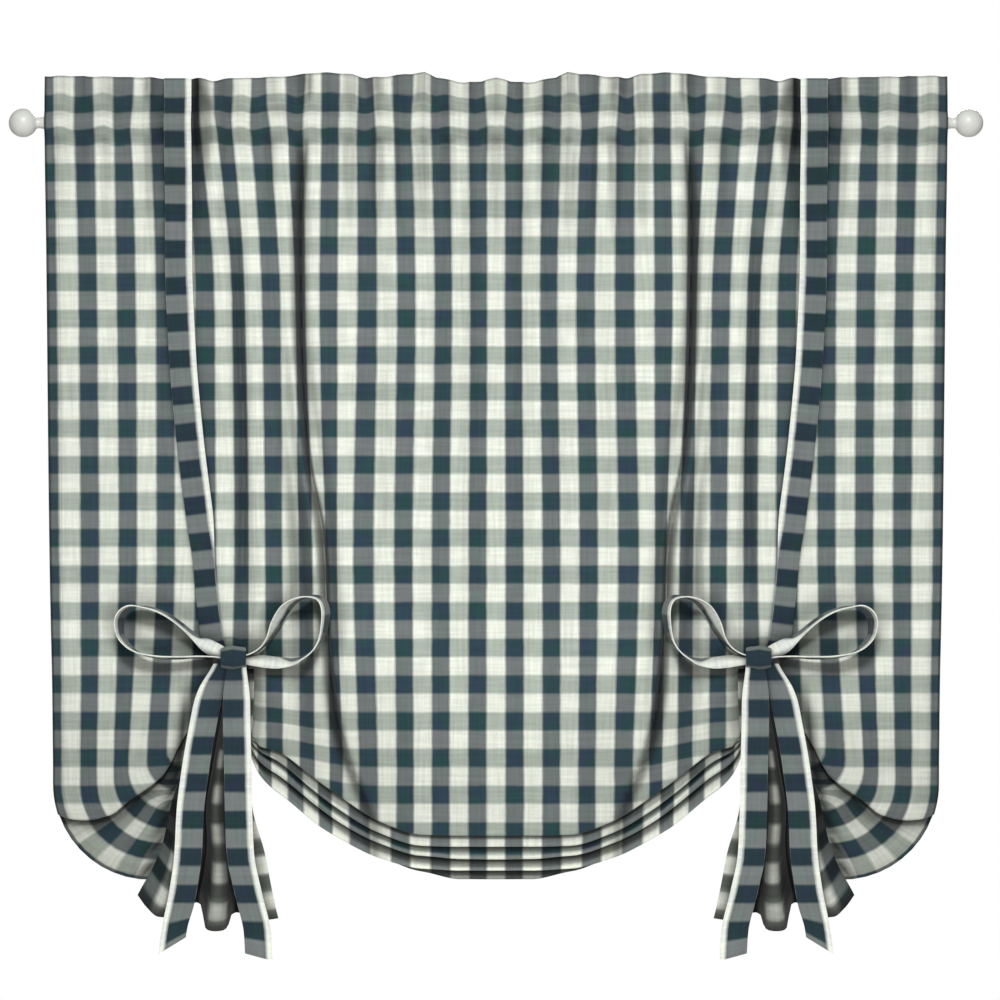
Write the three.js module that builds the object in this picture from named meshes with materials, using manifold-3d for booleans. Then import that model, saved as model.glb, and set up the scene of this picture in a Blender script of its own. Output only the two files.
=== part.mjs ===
// Tie-up shade in gingham cloth on a curtain rod with ball finials.
// Millimetres, +Z up, the front faces -Y. The origin is on the rod's axis, at its middle.
// The shade is the same on both sides, so places are given as distances from the middle.
import * as THREE from 'three';
import Module from 'manifold-3d';

// Cloth. Flat, it is 1067 wide: checks of 42.7, counted from the middle to place its columns
const FLAT_LENGTH = 1600;
const CHECKS_ACROSS = 25;
const EDGE_CHECK = CHECKS_ACROSS / 2;
const CLOTH = 1.6;
const GAP = 0.3;

// Rod and finials
const ROD_RADIUS = 8;
const ROD_HALF = 493;
const ROD_SIDES = 24;
const FINIAL_SIDES = 18;
const BALL_RADIUS = 15.5;
const BALL_CENTRE = 511;
const COLLAR_RADIUS = 10;
const COLLAR_LENGTH = 5;

// Heading and rod pocket, heights from the rod's axis
const HEADING_TOP = 50;
const POCKET_TOP = 13.5;
const POCKET_FOOT = 19;
const POCKET_RADIUS = ROD_RADIUS + CLOTH / 2 + 0.7;
const SEAM_DEPTH = 0.7;
const STRIP_FOOT = -25;
const HEADING_ROWS = [31, POCKET_TOP, 8, 4, 0, -4.75, -12, -POCKET_FOOT, STRIP_FOOT, -45];
const FOLDS_FULL = 140;

// Where each check's white stripe hangs, as a distance from the middle, at four heights
const LEVELS = { head: 13, upper: -192, waist: -467, foot: -690 };
const COLUMNS = [
  { check: 0, head: 0, upper: 0, waist: 0, foot: 0 },
  { check: 1, head: 39.9, upper: 37.7, waist: 39.9, foot: 40 },
  { check: 2, head: 80.9, upper: 76.5, waist: 79.8, foot: 79 },
  { check: 3, head: 121, upper: 117.5, waist: 120.7, foot: 117 },
  { check: 4, head: 159.5, upper: 160.6, waist: 164, foot: 157 },
  { check: 5, head: 198.4, upper: 199.4, waist: 190.8, foot: 187 },
  { check: 6, head: 236.1, upper: 224.2, waist: 222.1, foot: 221 },
  { check: 7, head: 276, upper: 263, waist: 258.7, foot: 258 },
  { check: 8, head: 312.6, upper: 294.3, waist: 292.1, foot: 300 },
  { check: 9, head: 346, upper: 336.3, waist: 336.3, foot: 354 },
  { check: 10, head: 383.8, upper: 378.4, waist: 377.3, foot: 393 },
  { check: 11, head: 423.7, upper: 420.4, waist: 418.3, foot: 427 },
  { check: 12, head: 464.6, upper: 460.3, waist: 459.2, foot: 462 },
  { check: EDGE_CHECK, head: 484, upper: 482.9, waist: 479, foot: 479 },
];

// Hanging folds: where each one runs in checks from the middle, and how deep it goes back
const FOLDS = [
  { headAt: 0.75, upperAt: 0.75, waistAt: 0.7, footAt: 0.7, width: 0.7, head: 2, upper: 4, waist: 4, foot: 2 },
  { headAt: 1.6, upperAt: 1.6, waistAt: 1.7, footAt: 1.7, width: 0.9, head: 2, upper: 4, waist: 3, foot: 1 },
  { headAt: 3.4, upperAt: 3.4, waistAt: 3.3, footAt: 3.3, width: 1, head: 6, upper: 2, waist: 0, foot: 0 },
  { headAt: 5.35, upperAt: 5.5, waistAt: 4.6, footAt: 4.4, width: 1.2, head: 4, upper: 16, waist: 16, foot: 3 },
  { headAt: 6.5, upperAt: 6.4, waistAt: 5.7, footAt: 5.6, width: 1, head: 2, upper: 3, waist: 11, foot: 3 },
  { headAt: 7.4, upperAt: 7.5, waistAt: 7.4, footAt: 7.2, width: 1, head: 6, upper: 14, waist: 10, foot: 2 },
  { headAt: 8.55, upperAt: 8.5, waistAt: 8.5, footAt: 8.5, width: 0.9, head: 8, upper: 4, waist: 0, foot: 0 },
  { headAt: 9.6, upperAt: 9.6, waistAt: 9.6, footAt: 9.6, width: 1, head: 4, upper: 2, waist: 1, foot: 0 },
  { headAt: 12.6, upperAt: 12.6, waistAt: 12.6, footAt: 12.6, width: 2, head: 6, upper: 9, waist: 9, foot: 9 },
];

// Wave of the heading's top edge
const HEADING_WAVE = [
  { from: 0, rise: -2 },
  { from: 44, rise: -5 },
  { from: 84, rise: 2 },
  { from: 130, rise: -1 },
  { from: 184, rise: 3 },
  { from: 250, rise: 0 },
  { from: 319, rise: -5 },
  { from: 370, rise: -1 },
  { from: 484, rise: 1 },
];

// Lowest line of the front layer, from the middle of the swag to the ear's pivot
const TIE = { from: 295, z: -612 };
const PIVOT = { check: 9.8, z: -724 };
const FRONT_FOLD = [
  { from: 0, z: -781.5 },
  { from: 103.5, z: -772 },
  { from: 163, z: -745 },
  { from: 227.5, z: -700.7 },
  { from: 256.6, z: -669.4 },
  TIE,
  { from: 357, z: -697 },
];

// Line where the upper puff of an ear tucks under
const EAR_CREASE = [
  { from: 380, z: -721 },
  { from: 395, z: -731 },
  { from: 416, z: -747 },
  { from: 443, z: -752.5 },
  { from: 470, z: -749 },
  { from: 480, z: -733 },
];
const EAR_TURN = 2;
const EAR_RUN = 48;
const EAR_TUCK = 11;
const EAR_TUCK_HEIGHT = 18;

// Layers folded up behind the front: their spacing, and how far the hem shows below it
const LAYERS = [
  { check: 0, spacing: 6.5, drop: 34.5 },
  { check: 3, spacing: 6.5, drop: 32 },
  { check: 5, spacing: 6, drop: 29 },
  { check: 6.6, spacing: 4.4, drop: 23 },
  { check: 7.5, spacing: 3.6, drop: 8 },
  { check: 8.3, spacing: 3.6, drop: 14 },
  { check: 9.2, spacing: 4.2, drop: 44 },
  { check: 9.9, spacing: 5, drop: 40 },
  { check: 10.8, spacing: 5, drop: 0 },
  { check: EDGE_CHECK, spacing: 5, drop: -4 },
];
const LOWER_EDGES = 4;

// How far the cloth swells forward above the folded layers
const SWAG_SWELL = 17;
const EAR_SWELL = 12;

// Grid of the hanging cloth: checks across half of it, and steps down its front
const GRID_CHECKS = [
  0.75, 1.6, 2.5, 3.4, 4, 4.5, 5, 5.5, 6, 6.5, 7, 7.5, 8, 8.5, 9.2, 9.9, 10.7, 11.6, EDGE_CHECK,
];
const FRONT_STEPS = [0.12, 0.25, 0.38, 0.5, 0.61, 0.71, 0.79, 0.85, 0.9, 0.94, 0.97, 1];

// Ties: one strap before and one behind the cloth on each side, and a bow
const STRAP_WIDTH = 32;
const STRAP = 1.6;
const STRAP_CLEAR = 0.8;
const STRAP_PATH = [
  { z: 48, from: 343 },
  { z: -138, from: 343 },
  { z: -246, from: 338.5 },
  { z: -343, from: 330 },
  { z: -429, from: 319 },
  { z: -515, from: 309 },
  { z: -580, from: 292 },
];
const STRAP_ROWS = [
  47, ...HEADING_ROWS, -90, -140, -190, -240, -290, -340, -390, -430, -470, -510, -540, -560, -576,
];
const BACK_ROWS = [
  46, ...HEADING_ROWS, -110, -190, -270, -340, -400, -430, -450, -470, -510, -550, -590, -605,
];
const KNOT = { from: 283.5, z: -571, width: 33, depth: 22, height: 31 };
const LOOPS = [
  { name: 'outer', rootFrom: 301, rootZ: -569, tipFrom: 407, tipZ: -541, height: 50 },
  { name: 'inner', rootFrom: 266, rootZ: -569, tipFrom: 180, tipZ: -533, height: 62 },
];
const LOOP_STEPS = 20;
const LOOP_HALF_DEPTH = 13;
const LOOP_ROOT_HALF_DEPTH = 6;
const LOOP_ROOT_GAP = 2.4;
const LOOP_BACK_SHRINK = 0.14;
const LOOP_FORWARD = 9;
const TAIL_TOP = KNOT.z - KNOT.height / 2 - 2 * GAP;
const TAIL_WIDTH = 29;
const TAIL_CUP = 1.5;
const TAILS = [
  {
    name: 'outer',
    ahead: 0,
    slant: 9,
    path: [
      { z: TAIL_TOP, from: 286 },
      { z: -623, from: 294 },
      { z: -677, from: 307 },
      { z: -785, from: 330 },
      { z: -855, from: 342 },
      { z: -885, from: 347 },
    ],
  },
  {
    name: 'inner',
    ahead: 3.5,
    slant: -4,
    path: [
      { z: TAIL_TOP, from: 281 },
      { z: -623, from: 275 },
      { z: -677, from: 276 },
      { z: -785, from: 272 },
      { z: -855, from: 260 },
      { z: -896, from: 254 },
    ],
  },
];
const TAIL_ROWS = 12;
const TAIL_CLEAR = 2.5;

// Gathered fan of cloth that hangs below each knot
const FAN_ROWS = [
  { z: -590, outer: 308, inner: 262, ahead: 0, pleat: 0 },
  { z: -600, outer: 311, inner: 261, ahead: 5, pleat: 2 },
  { z: -622, outer: 316, inner: 261, ahead: 11, pleat: 4 },
  { z: -660, outer: 326, inner: 263, ahead: 18, pleat: 5 },
  { z: -700, outer: 342, inner: 264, ahead: 22, pleat: 6 },
  { z: -735, outer: 358, inner: 263, ahead: 24, pleat: 7 },
  { z: -785, outer: 371, inner: 249, ahead: 25, pleat: 9 },
  { z: -852, outer: 385, inner: 235, ahead: 25, pleat: 11 },
];
const FAN_PLEATS = 3;
const FAN_COLUMNS = 12;
const FAN_PLEAT_DROP = 9;

// Sums on curves

function clamp01(value) {
  return Math.min(1, Math.max(0, value));
}

// Smooth rise from 0 at one value to 1 at another
function ramp(value, from, to) {
  const t = clamp01((value - from) / (to - from));
  return t * t * (3 - 2 * t);
}

// Smooth curve through points, rising only where they rise
function curve(xs, ys) {
  const last = xs.length - 1;
  const secants = ys.slice(1).map((y, i) => (y - ys[i]) / (xs[i + 1] - xs[i]));
  const slopes = ys.map((_, i) => {
    const before = secants[Math.max(0, i - 1)];
    const after = secants[Math.min(last - 1, i)];
    return before * after <= 0 ? 0 : 2 / (1 / before + 1 / after);
  });
  return (x) => {
    if (x <= xs[0]) return ys[0];
    if (x >= xs[last]) return ys[last];
    const i = xs.findIndex((value) => value > x) - 1;
    const span = xs[i + 1] - xs[i];
    const t = (x - xs[i]) / span;
    const u = 1 - t;
    const ends = u * u * (1 + 2 * t) * ys[i] + t * t * (3 - 2 * t) * ys[i + 1];
    return ends + span * t * u * (u * slopes[i] - t * slopes[i + 1]);
  };
}

// Curve through two named columns of a table, whichever way its rows run
function tableCurve(table, key, value) {
  const rows = [...table].sort((a, b) => a[key] - b[key]);
  return curve(rows.map((row) => row[key]), rows.map((row) => row[value]));
}

// Value at a height, from its values at the four levels
function atLevel(z, values) {
  const names = Object.keys(LEVELS).reverse();
  return curve(names.map((name) => LEVELS[name]), names.map((name) => values[name]))(z);
}

// Hanging cloth

const columnCurves = {};
for (const name of Object.keys(LEVELS)) columnCurves[name] = tableCurve(COLUMNS, 'check', name);

// Distance from the middle at which a check hangs
function across(check, z) {
  const values = {};
  for (const name of Object.keys(LEVELS)) values[name] = columnCurves[name](check);
  return atLevel(z, values);
}

// Check that hangs at a distance from the middle
function checkAt(from, z) {
  let low = 0;
  let high = EDGE_CHECK;
  for (let step = 0; step < 30; step++) {
    const middle = (low + high) / 2;
    if (across(middle, z) < from) low = middle;
    else high = middle;
  }
  return (low + high) / 2;
}

const pivotFrom = across(PIVOT.check, PIVOT.z);
const frontFold = tableCurve([...FRONT_FOLD, { from: pivotFrom, z: PIVOT.z }], 'from', 'z');
const headingWave = tableCurve(HEADING_WAVE, 'from', 'rise');
const earCrease = tableCurve(EAR_CREASE, 'from', 'z');
const layerSpacing = tableCurve(LAYERS, 'check', 'spacing');
const layerDrop = tableCurve(LAYERS, 'check', 'drop');

// Depth of the pocket around the rod: cloth pulled straight from each seam to the rod
function pocketDepth(z) {
  const seam = z > 0 ? POCKET_TOP : POCKET_FOOT;
  const height = Math.abs(z);
  if (height >= seam) return SEAM_DEPTH;
  const reach = Math.hypot(seam, SEAM_DEPTH);
  const angle = Math.acos(POCKET_RADIUS / reach) + Math.atan2(SEAM_DEPTH, seam);
  const touchHeight = POCKET_RADIUS * Math.cos(angle);
  const touchDepth = POCKET_RADIUS * Math.sin(angle);
  if (height <= touchHeight) return Math.sqrt(POCKET_RADIUS ** 2 - height ** 2);
  return THREE.MathUtils.mapLinear(height, touchHeight, seam, touchDepth, SEAM_DEPTH);
}

// How far the folds push the cloth back; the rod holds them flat
function foldDepth(check, z) {
  let depth = 0;
  for (const fold of FOLDS) {
    const places = { head: fold.headAt, upper: fold.upperAt, waist: fold.waistAt, foot: fold.footAt };
    const middle = atLevel(z, places);
    const offset = Math.min(0.5, Math.abs(check - middle) / fold.width);
    depth += atLevel(z, fold) * 0.5 * (1 + Math.cos(2 * Math.PI * offset));
  }
  const freedom = z > 0 ? ramp(z, POCKET_TOP, HEADING_TOP) : ramp(-z, -STRIP_FOOT, FOLDS_FULL);
  return depth * freedom;
}

function swell(check, z) {
  const swag = SWAG_SWELL * ramp(-z, 470, 720) * (1 - ramp(check, 4.6, 7));
  const ear = EAR_SWELL * ramp(-z, 585, 700) * ramp(check, 8.6, 10);
  return swag + ear;
}

// Y of the middle of the front layer
function frontY(check, from, z) {
  const tuck = EAR_TUCK * ramp(earCrease(from) - z, 0, EAR_TUCK_HEIGHT) * ramp(check, 9.2, 10);
  return -pocketDepth(z) + foldDepth(check, z) - swell(check, z) + tuck;
}

// Length of a column from the heading's top to the lowest point of the front layer
function frontLength(check) {
  if (check <= PIVOT.check) return HEADING_TOP - frontFold(across(check, LEVELS.foot));
  const run = EAR_RUN * ramp(check, PIVOT.check, PIVOT.check + 0.6);
  return HEADING_TOP - PIVOT.z + (across(check, PIVOT.z) - pivotFrom) * EAR_TURN + run;
}

// Place along a column. In the ears it turns around the pivot, then runs on behind the fan
function guide(check, length) {
  const z = HEADING_TOP - length;
  if (check <= PIVOT.check || z >= PIVOT.z) return { from: across(check, z), z };
  const radius = across(check, PIVOT.z) - pivotFrom;
  const angle = Math.min(EAR_TURN, (PIVOT.z - z) / radius);
  const run = PIVOT.z - z - radius * angle;
  return {
    from: pivotFrom + radius * Math.cos(angle) - run * Math.sin(angle),
    z: PIVOT.z - radius * Math.sin(angle) - run * Math.cos(angle),
  };
}

// Stations along one column: its length so far on the guide, and how far it lies behind the front
function columnPath(check) {
  const fold = frontLength(check);
  const spacing = layerSpacing(check);
  const round = spacing / 2;
  const drop = layerDrop(check);
  const lows = [];
  for (let edge = 0; edge < LOWER_EDGES; edge++) lows.push(fold + (drop * edge) / (LOWER_EDGES - 1));
  const legs = 2 * (LOWER_EDGES - 1);
  const lowSum = 2 * lows.reduce((sum, low) => sum + low, 0) - lows[0] - lows[LOWER_EDGES - 1];
  const high = (lowSum - (FLAT_LENGTH - fold)) / legs;
  const path = HEADING_ROWS.map((z) => ({ length: HEADING_TOP - z, behind: 0 }));
  path.unshift({ length: 0, behind: 0 });
  const start = path[path.length - 1].length;
  for (const step of FRONT_STEPS) path.push({ length: start + (fold - round - start) * step, behind: 0 });
  for (let leg = 0; leg < legs; leg++) {
    const behind = leg * spacing;
    const down = leg % 2 === 0;
    const turn = down ? lows[leg / 2] - round : high + round;
    const sign = down ? 1 : -1;
    path.push({ length: turn + sign * round * 0.8, behind: behind + round * 0.5 });
    path.push({ length: turn + sign * round * 0.8, behind: behind + round * 1.5 });
    path.push({ length: turn, behind: behind + spacing });
    const next = down ? high + round : lows[(leg + 1) / 2] - round;
    path.push({ length: (turn + next) / 2, behind: behind + spacing });
    path.push({ length: next, behind: behind + spacing });
  }
  return path;
}

// Point of the cloth, mirrored to the left for checks below zero
function clothPoint(signedCheck, station) {
  const check = Math.abs(signedCheck);
  const { from, z } = guide(check, station.length);
  const rise = headingWave(from) * ramp(z, POCKET_TOP, HEADING_TOP);
  return new THREE.Vector3(Math.sign(signedCheck) * from, frontY(check, from, z) + station.behind, z + rise);
}

// Closed sheet of even thickness around a grid of points
function sheetGeometry(grid, thickness) {
  const rows = grid.length;
  const columns = grid[0].length;
  const offset = rows * columns;
  const positions = new Float32Array(2 * offset * 3);
  for (let row = 0; row < rows; row++) {
    for (let column = 0; column < columns; column++) {
      const here = row * columns + column;
      const sideways = grid[row][Math.min(columns - 1, column + 1)].clone();
      sideways.sub(grid[row][Math.max(0, column - 1)]);
      const down = grid[Math.min(rows - 1, row + 1)][column].clone();
      down.sub(grid[Math.max(0, row - 1)][column]);
      const shift = sideways.cross(down).setLength(thickness / 2);
      grid[row][column].clone().sub(shift).toArray(positions, 3 * here);
      grid[row][column].clone().add(shift).toArray(positions, 3 * (here + offset));
    }
  }
  const index = [];
  for (let row = 0; row < rows - 1; row++) {
    for (let column = 0; column < columns - 1; column++) {
      const a = row * columns + column;
      const b = a + 1;
      const c = b + columns;
      const d = a + columns;
      index.push(a, c, b, a, d, c);
      index.push(a + offset, b + offset, c + offset, a + offset, c + offset, d + offset);
    }
  }
  const rim = [];
  for (let column = 0; column < columns; column++) rim.push(column);
  for (let row = 1; row < rows; row++) rim.push(row * columns + columns - 1);
  for (let column = columns - 2; column >= 0; column--) rim.push((rows - 1) * columns + column);
  for (let row = rows - 2; row > 0; row--) rim.push(row * columns);
  rim.forEach((from, i) => {
    const to = rim[(i + 1) % rim.length];
    index.push(to + offset, from + offset, from, to + offset, from, to);
  });
  const geometry = new THREE.BufferGeometry();
  geometry.setAttribute('position', new THREE.BufferAttribute(positions, 3));
  geometry.setIndex(index);
  return geometry;
}

// Joining of sheets that are sewn or woven in one

const wasm = await Module();
wasm.setup();

function joinGeometries(geometries) {
  const solids = geometries.map((geometry) => new wasm.Manifold(new wasm.Mesh({
    numProp: 3,
    vertProperties: geometry.getAttribute('position').array,
    triVerts: new Uint32Array(geometry.getIndex().array),
  })));
  const joined = solids.slice(1).reduce((sum, solid) => sum.add(solid), solids[0]).getMesh();
  const geometry = new THREE.BufferGeometry();
  geometry.setAttribute('position', new THREE.BufferAttribute(joined.vertProperties, 3));
  geometry.setIndex(new THREE.BufferAttribute(joined.triVerts, 1));
  return geometry;
}

const signedChecks = [...GRID_CHECKS.map((check) => -check).reverse(), 0, ...GRID_CHECKS];

function hangingGeometry() {
  const paths = signedChecks.map((check) => columnPath(Math.abs(check)));
  const rows = paths[0].map((_, row) => signedChecks.map((check, i) => clothPoint(check, paths[i][row])));
  return sheetGeometry(rows, CLOTH);
}

// Back of the heading and rod pocket: the top of the cloth, turned over and sewn down
function pocketGeometry() {
  const heights = [HEADING_TOP, ...HEADING_ROWS.filter((z) => z >= STRIP_FOOT)];
  const rows = heights.map((z) => signedChecks.map((check) => {
    const point = clothPoint(check, { length: HEADING_TOP - z, behind: 0 });
    point.y += 2 * pocketDepth(z);
    return point;
  }));
  return sheetGeometry(rows, CLOTH);
}

function fanGeometry(side) {
  const rows = FAN_ROWS.map((row, i) => {
    const points = [];
    for (let column = 0; column <= FAN_COLUMNS; column++) {
      const share = column / FAN_COLUMNS;
      const from = THREE.MathUtils.lerp(row.outer, row.inner, share);
      const wave = -Math.cos(2 * Math.PI * FAN_PLEATS * share);
      const low = i === FAN_ROWS.length - 1 ? FAN_PLEAT_DROP * wave : 0;
      const seat = frontY(checkAt(from, FAN_ROWS[0].z), from, FAN_ROWS[0].z);
      points.push(new THREE.Vector3(side * from, seat - row.ahead - row.pleat * (wave + 1), row.z - low));
    }
    return points;
  });
  return sheetGeometry(rows, CLOTH);
}

// Ties

const strapCentre = tableCurve(STRAP_PATH, 'z', 'from');
const fanAhead = tableCurve(FAN_ROWS, 'z', 'ahead');
const fanPleat = tableCurve(FAN_ROWS, 'z', 'pleat');

// Y of the cloth under a strap: the foremost or rearmost point across its width
function underStrap(z, place, pick) {
  const depths = [];
  for (let step = -4; step <= 4; step++) {
    const from = strapCentre(z) + (step / 4) * STRAP_WIDTH * 0.75;
    depths.push(place(checkAt(from, z), from));
  }
  return pick(...depths);
}

function strapY(z) {
  return underStrap(z, (check, from) => frontY(check, from, z), Math.min) - CLOTH / 2 - STRAP_CLEAR - STRAP / 2;
}

// Y of a strap behind the shade: clear of the pocket's back, and of the layers lower down
function backStrapY(z) {
  const rearmost = underStrap(z, (check, from) => {
    const layers = 2 * (LOWER_EDGES - 1) * layerSpacing(check) * ramp(-z, 340, 440);
    const pocket = z >= STRIP_FOOT ? 2 * pocketDepth(z) : 0;
    return frontY(check, from, z) + layers + pocket;
  }, Math.max);
  return rearmost + CLOTH / 2 + STRAP_CLEAR + STRAP / 2;
}

function ribbonGeometry(rows) {
  return sheetGeometry(rows, STRAP);
}

function strapGeometry(side, heights, depthAt) {
  return ribbonGeometry(heights.map((z) => {
    const y = depthAt(z);
    const slope = strapCentre(z - 1) - strapCentre(z + 1);
    return [-1, 0, 1].map((edge) => {
      const from = strapCentre(z) + (edge * STRAP_WIDTH) / 2;
      return new THREE.Vector3(side * from, y, z + (edge * STRAP_WIDTH * slope) / 4);
    });
  }));
}

const knotY = strapY(KNOT.z) - STRAP / 2 - GAP - KNOT.depth / 2;

function knotGeometry() {
  return new THREE.SphereGeometry(0.5, 16, 10).scale(KNOT.width, KNOT.depth, KNOT.height);
}

// Loop of a bow: a ribbon that leaves the knot, turns at the tip and comes back below
function loopGeometry(side, loop) {
  const root = new THREE.Vector2(loop.rootFrom, loop.rootZ);
  const axis = new THREE.Vector2(loop.tipFrom, loop.tipZ).sub(root);
  const length = axis.length();
  axis.normalize();
  const up = new THREE.Vector2(-axis.y, axis.x).multiplyScalar(Math.sign(axis.x));
  const rows = [];
  for (let step = 0; step <= LOOP_STEPS; step++) {
    const turn = (2 * Math.PI * step) / LOOP_STEPS;
    const out = (1 - Math.cos(turn)) / 2;
    const rise = LOOP_ROOT_GAP * Math.cos(turn / 2) + (loop.height / 2) * Math.sin(turn) * (0.35 + 0.85 * out);
    const halfDepth = THREE.MathUtils.lerp(LOOP_ROOT_HALF_DEPTH, LOOP_HALF_DEPTH, ramp(out, 0, 0.5));
    rows.push([-1, 0, 1].map((edge) => {
      const scale = 1 - LOOP_BACK_SHRINK * out * (edge + 1);
      const spot = root.clone().addScaledVector(axis, length * out * scale).addScaledVector(up, rise * scale);
      return new THREE.Vector3(side * spot.x, knotY + edge * halfDepth - LOOP_FORWARD * out, spot.y);
    }));
  }
  return ribbonGeometry(rows);
}

// Y of a tail: out of the knot's underside, then over the foremost pleats of the fan
function tailY(z, ahead) {
  const top = FAN_ROWS[0].z;
  const seat = frontY(checkAt(KNOT.from, top), KNOT.from, top);
  const pleats = seat - fanAhead(z) - 2 * fanPleat(z);
  return Math.min(knotY, pleats - CLOTH / 2 - TAIL_CLEAR - STRAP / 2) - ahead;
}

function tailGeometry(side, tail) {
  const centre = tableCurve(tail.path, 'z', 'from');
  const top = tail.path[0].z;
  const foot = tail.path[tail.path.length - 1].z;
  const rows = [];
  for (let row = 0; row <= TAIL_ROWS; row++) {
    const share = row / TAIL_ROWS;
    const z = THREE.MathUtils.lerp(top, foot, share);
    const width = TAIL_WIDTH * THREE.MathUtils.lerp(0.55, 1, ramp(share, 0, 0.3));
    rows.push([-1, 0, 1].map((edge) => {
      const y = tailY(z, tail.ahead);
      const cup = TAIL_CUP * (1 - edge * edge);
      const low = tail.slant * edge * ramp(share, 0.9, 1);
      return new THREE.Vector3(side * (centre(z) + (edge * width) / 2), y - cup, z - low);
    }));
  }
  return ribbonGeometry(rows);
}

// Rod

function finialGeometry() {
  const start = ROD_HALF + GAP;
  const meet = Math.sqrt(BALL_RADIUS ** 2 - COLLAR_RADIUS ** 2);
  const profile = [new THREE.Vector2(0, start), new THREE.Vector2(COLLAR_RADIUS, start)];
  profile.push(new THREE.Vector2(COLLAR_RADIUS, Math.min(start + COLLAR_LENGTH, BALL_CENTRE - meet)));
  const first = Math.PI - Math.asin(COLLAR_RADIUS / BALL_RADIUS);
  const steps = 8;
  for (let step = 0; step < steps; step++) {
    const angle = first * (1 - step / steps);
    profile.push(new THREE.Vector2(BALL_RADIUS * Math.sin(angle), BALL_CENTRE + BALL_RADIUS * Math.cos(angle)));
  }
  profile.push(new THREE.Vector2(0, BALL_CENTRE + BALL_RADIUS));
  return new THREE.LatheGeometry(profile, FINIAL_SIDES);
}

// Scene

const gingham = new THREE.MeshStandardMaterial({ color: '#8b9498', roughness: 0.9, metalness: 0 });
const tieCloth = new THREE.MeshStandardMaterial({ color: '#56666f', roughness: 0.9, metalness: 0 });
const whitePaint = new THREE.MeshStandardMaterial({ color: '#eeeee8', roughness: 0.4, metalness: 0 });

const shade = new THREE.Group();

function addPiece(name, geometry, material) {
  const mesh = new THREE.Mesh(geometry, material);
  mesh.name = name;
  shade.add(mesh);
  return mesh;
}

const rodGeometry = new THREE.CylinderGeometry(ROD_RADIUS, ROD_RADIUS, 2 * ROD_HALF, ROD_SIDES);
const rod = addPiece('rod', rodGeometry, whitePaint);
rod.rotation.z = Math.PI / 2;

addPiece(
  'shade_panel',
  joinGeometries([hangingGeometry(), pocketGeometry(), fanGeometry(-1), fanGeometry(1)]),
  gingham,
);

for (const [sideName, side] of [['left', -1], ['right', 1]]) {
  const finial = addPiece(`finial_${sideName}`, finialGeometry(), whitePaint);
  finial.rotation.z = (-side * Math.PI) / 2;
  addPiece(`tie_front_${sideName}`, strapGeometry(side, STRAP_ROWS, strapY), tieCloth);
  addPiece(`tie_back_${sideName}`, strapGeometry(side, BACK_ROWS, backStrapY), tieCloth);
  const knot = addPiece(`knot_${sideName}`, knotGeometry(), tieCloth);
  knot.position.set(side * KNOT.from, knotY, KNOT.z);
  for (const loop of LOOPS) addPiece(`loop_${loop.name}_${sideName}`, loopGeometry(side, loop), tieCloth);
  for (const tail of TAILS) addPiece(`tail_${tail.name}_${sideName}`, tailGeometry(side, tail), tieCloth);
}

export default shade;
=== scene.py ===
"""Looks of the gingham tie-up shade: cloth, ties and bows, rod and finials, on a pale stage.

The cloth follows functions like the solids', on a finer grid. Sizes are in millimetres until a mesh
is made. Both sides are alike, so places are distances from the middle. Heights are from the rod's axis.
"""
import math

import bpy
import numpy as np
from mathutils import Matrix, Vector


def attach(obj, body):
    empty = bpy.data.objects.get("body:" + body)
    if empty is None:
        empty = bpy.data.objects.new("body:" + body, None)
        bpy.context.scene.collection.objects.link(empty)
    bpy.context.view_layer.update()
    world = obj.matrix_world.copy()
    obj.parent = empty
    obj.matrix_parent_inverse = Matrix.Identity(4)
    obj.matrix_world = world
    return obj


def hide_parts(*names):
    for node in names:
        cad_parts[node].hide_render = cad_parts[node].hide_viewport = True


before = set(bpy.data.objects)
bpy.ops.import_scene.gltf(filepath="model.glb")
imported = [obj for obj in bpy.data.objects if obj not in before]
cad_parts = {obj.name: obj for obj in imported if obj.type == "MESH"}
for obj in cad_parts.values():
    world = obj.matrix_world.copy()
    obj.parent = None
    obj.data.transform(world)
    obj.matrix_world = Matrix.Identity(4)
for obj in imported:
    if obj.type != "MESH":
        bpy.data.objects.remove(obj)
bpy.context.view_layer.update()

MM = 0.001
SIDES = (("left", -1), ("right", 1))

# Cloth, with its length from the heading's top down
FLAT_WIDTH = 1067.0
FLAT_LENGTH = 1600.0
CHECKS_ACROSS = 25
CHECK = FLAT_WIDTH / CHECKS_ACROSS
EDGE_CHECK = CHECKS_ACROSS / 2
ROW_PITCH = 39.5
ROW_PHASE = 9.8
CLOTH = 1.0

# Heading and rod pocket
HEADING_TOP = 50.0
POCKET_TOP = 13.5
POCKET_FOOT = 19.0
POCKET_RADIUS = 9.4
SEAM_DEPTH = 0.7
STRIP_FOOT = -25.0
FOLDS_FULL = 140.0
EXTRA_FOOT = -60.0
PUCKER_ROWS = 1.3
HEADING_SWAY = 1.5
POCKET_SWAY = 0.8

# Where each check's white stripe hangs at four heights: check, foot, waist, upper, head
LEVELS = np.array([-690.0, -467.0, -192.0, 13.0])
COLUMNS = [
    (0, 0, 0, 0, 0),
    (1, 40, 39.9, 37.7, 39.9),
    (2, 79, 79.8, 76.5, 80.9),
    (3, 117, 120.7, 117.5, 121),
    (4, 157, 164, 160.6, 159.5),
    (5, 187, 190.8, 199.4, 198.4),
    (6, 221, 222.1, 224.2, 236.1),
    (7, 258, 258.7, 263, 276),
    (8, 300, 292.1, 294.3, 312.6),
    (9, 345, 336.3, 336.3, 346),
    (10, 387, 377.3, 378.4, 383.8),
    (11, 421, 418.3, 420.4, 423.7),
    (12, 458, 460, 462, 467),
    (EDGE_CHECK, 478, 483, 486, 488),
]

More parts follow.
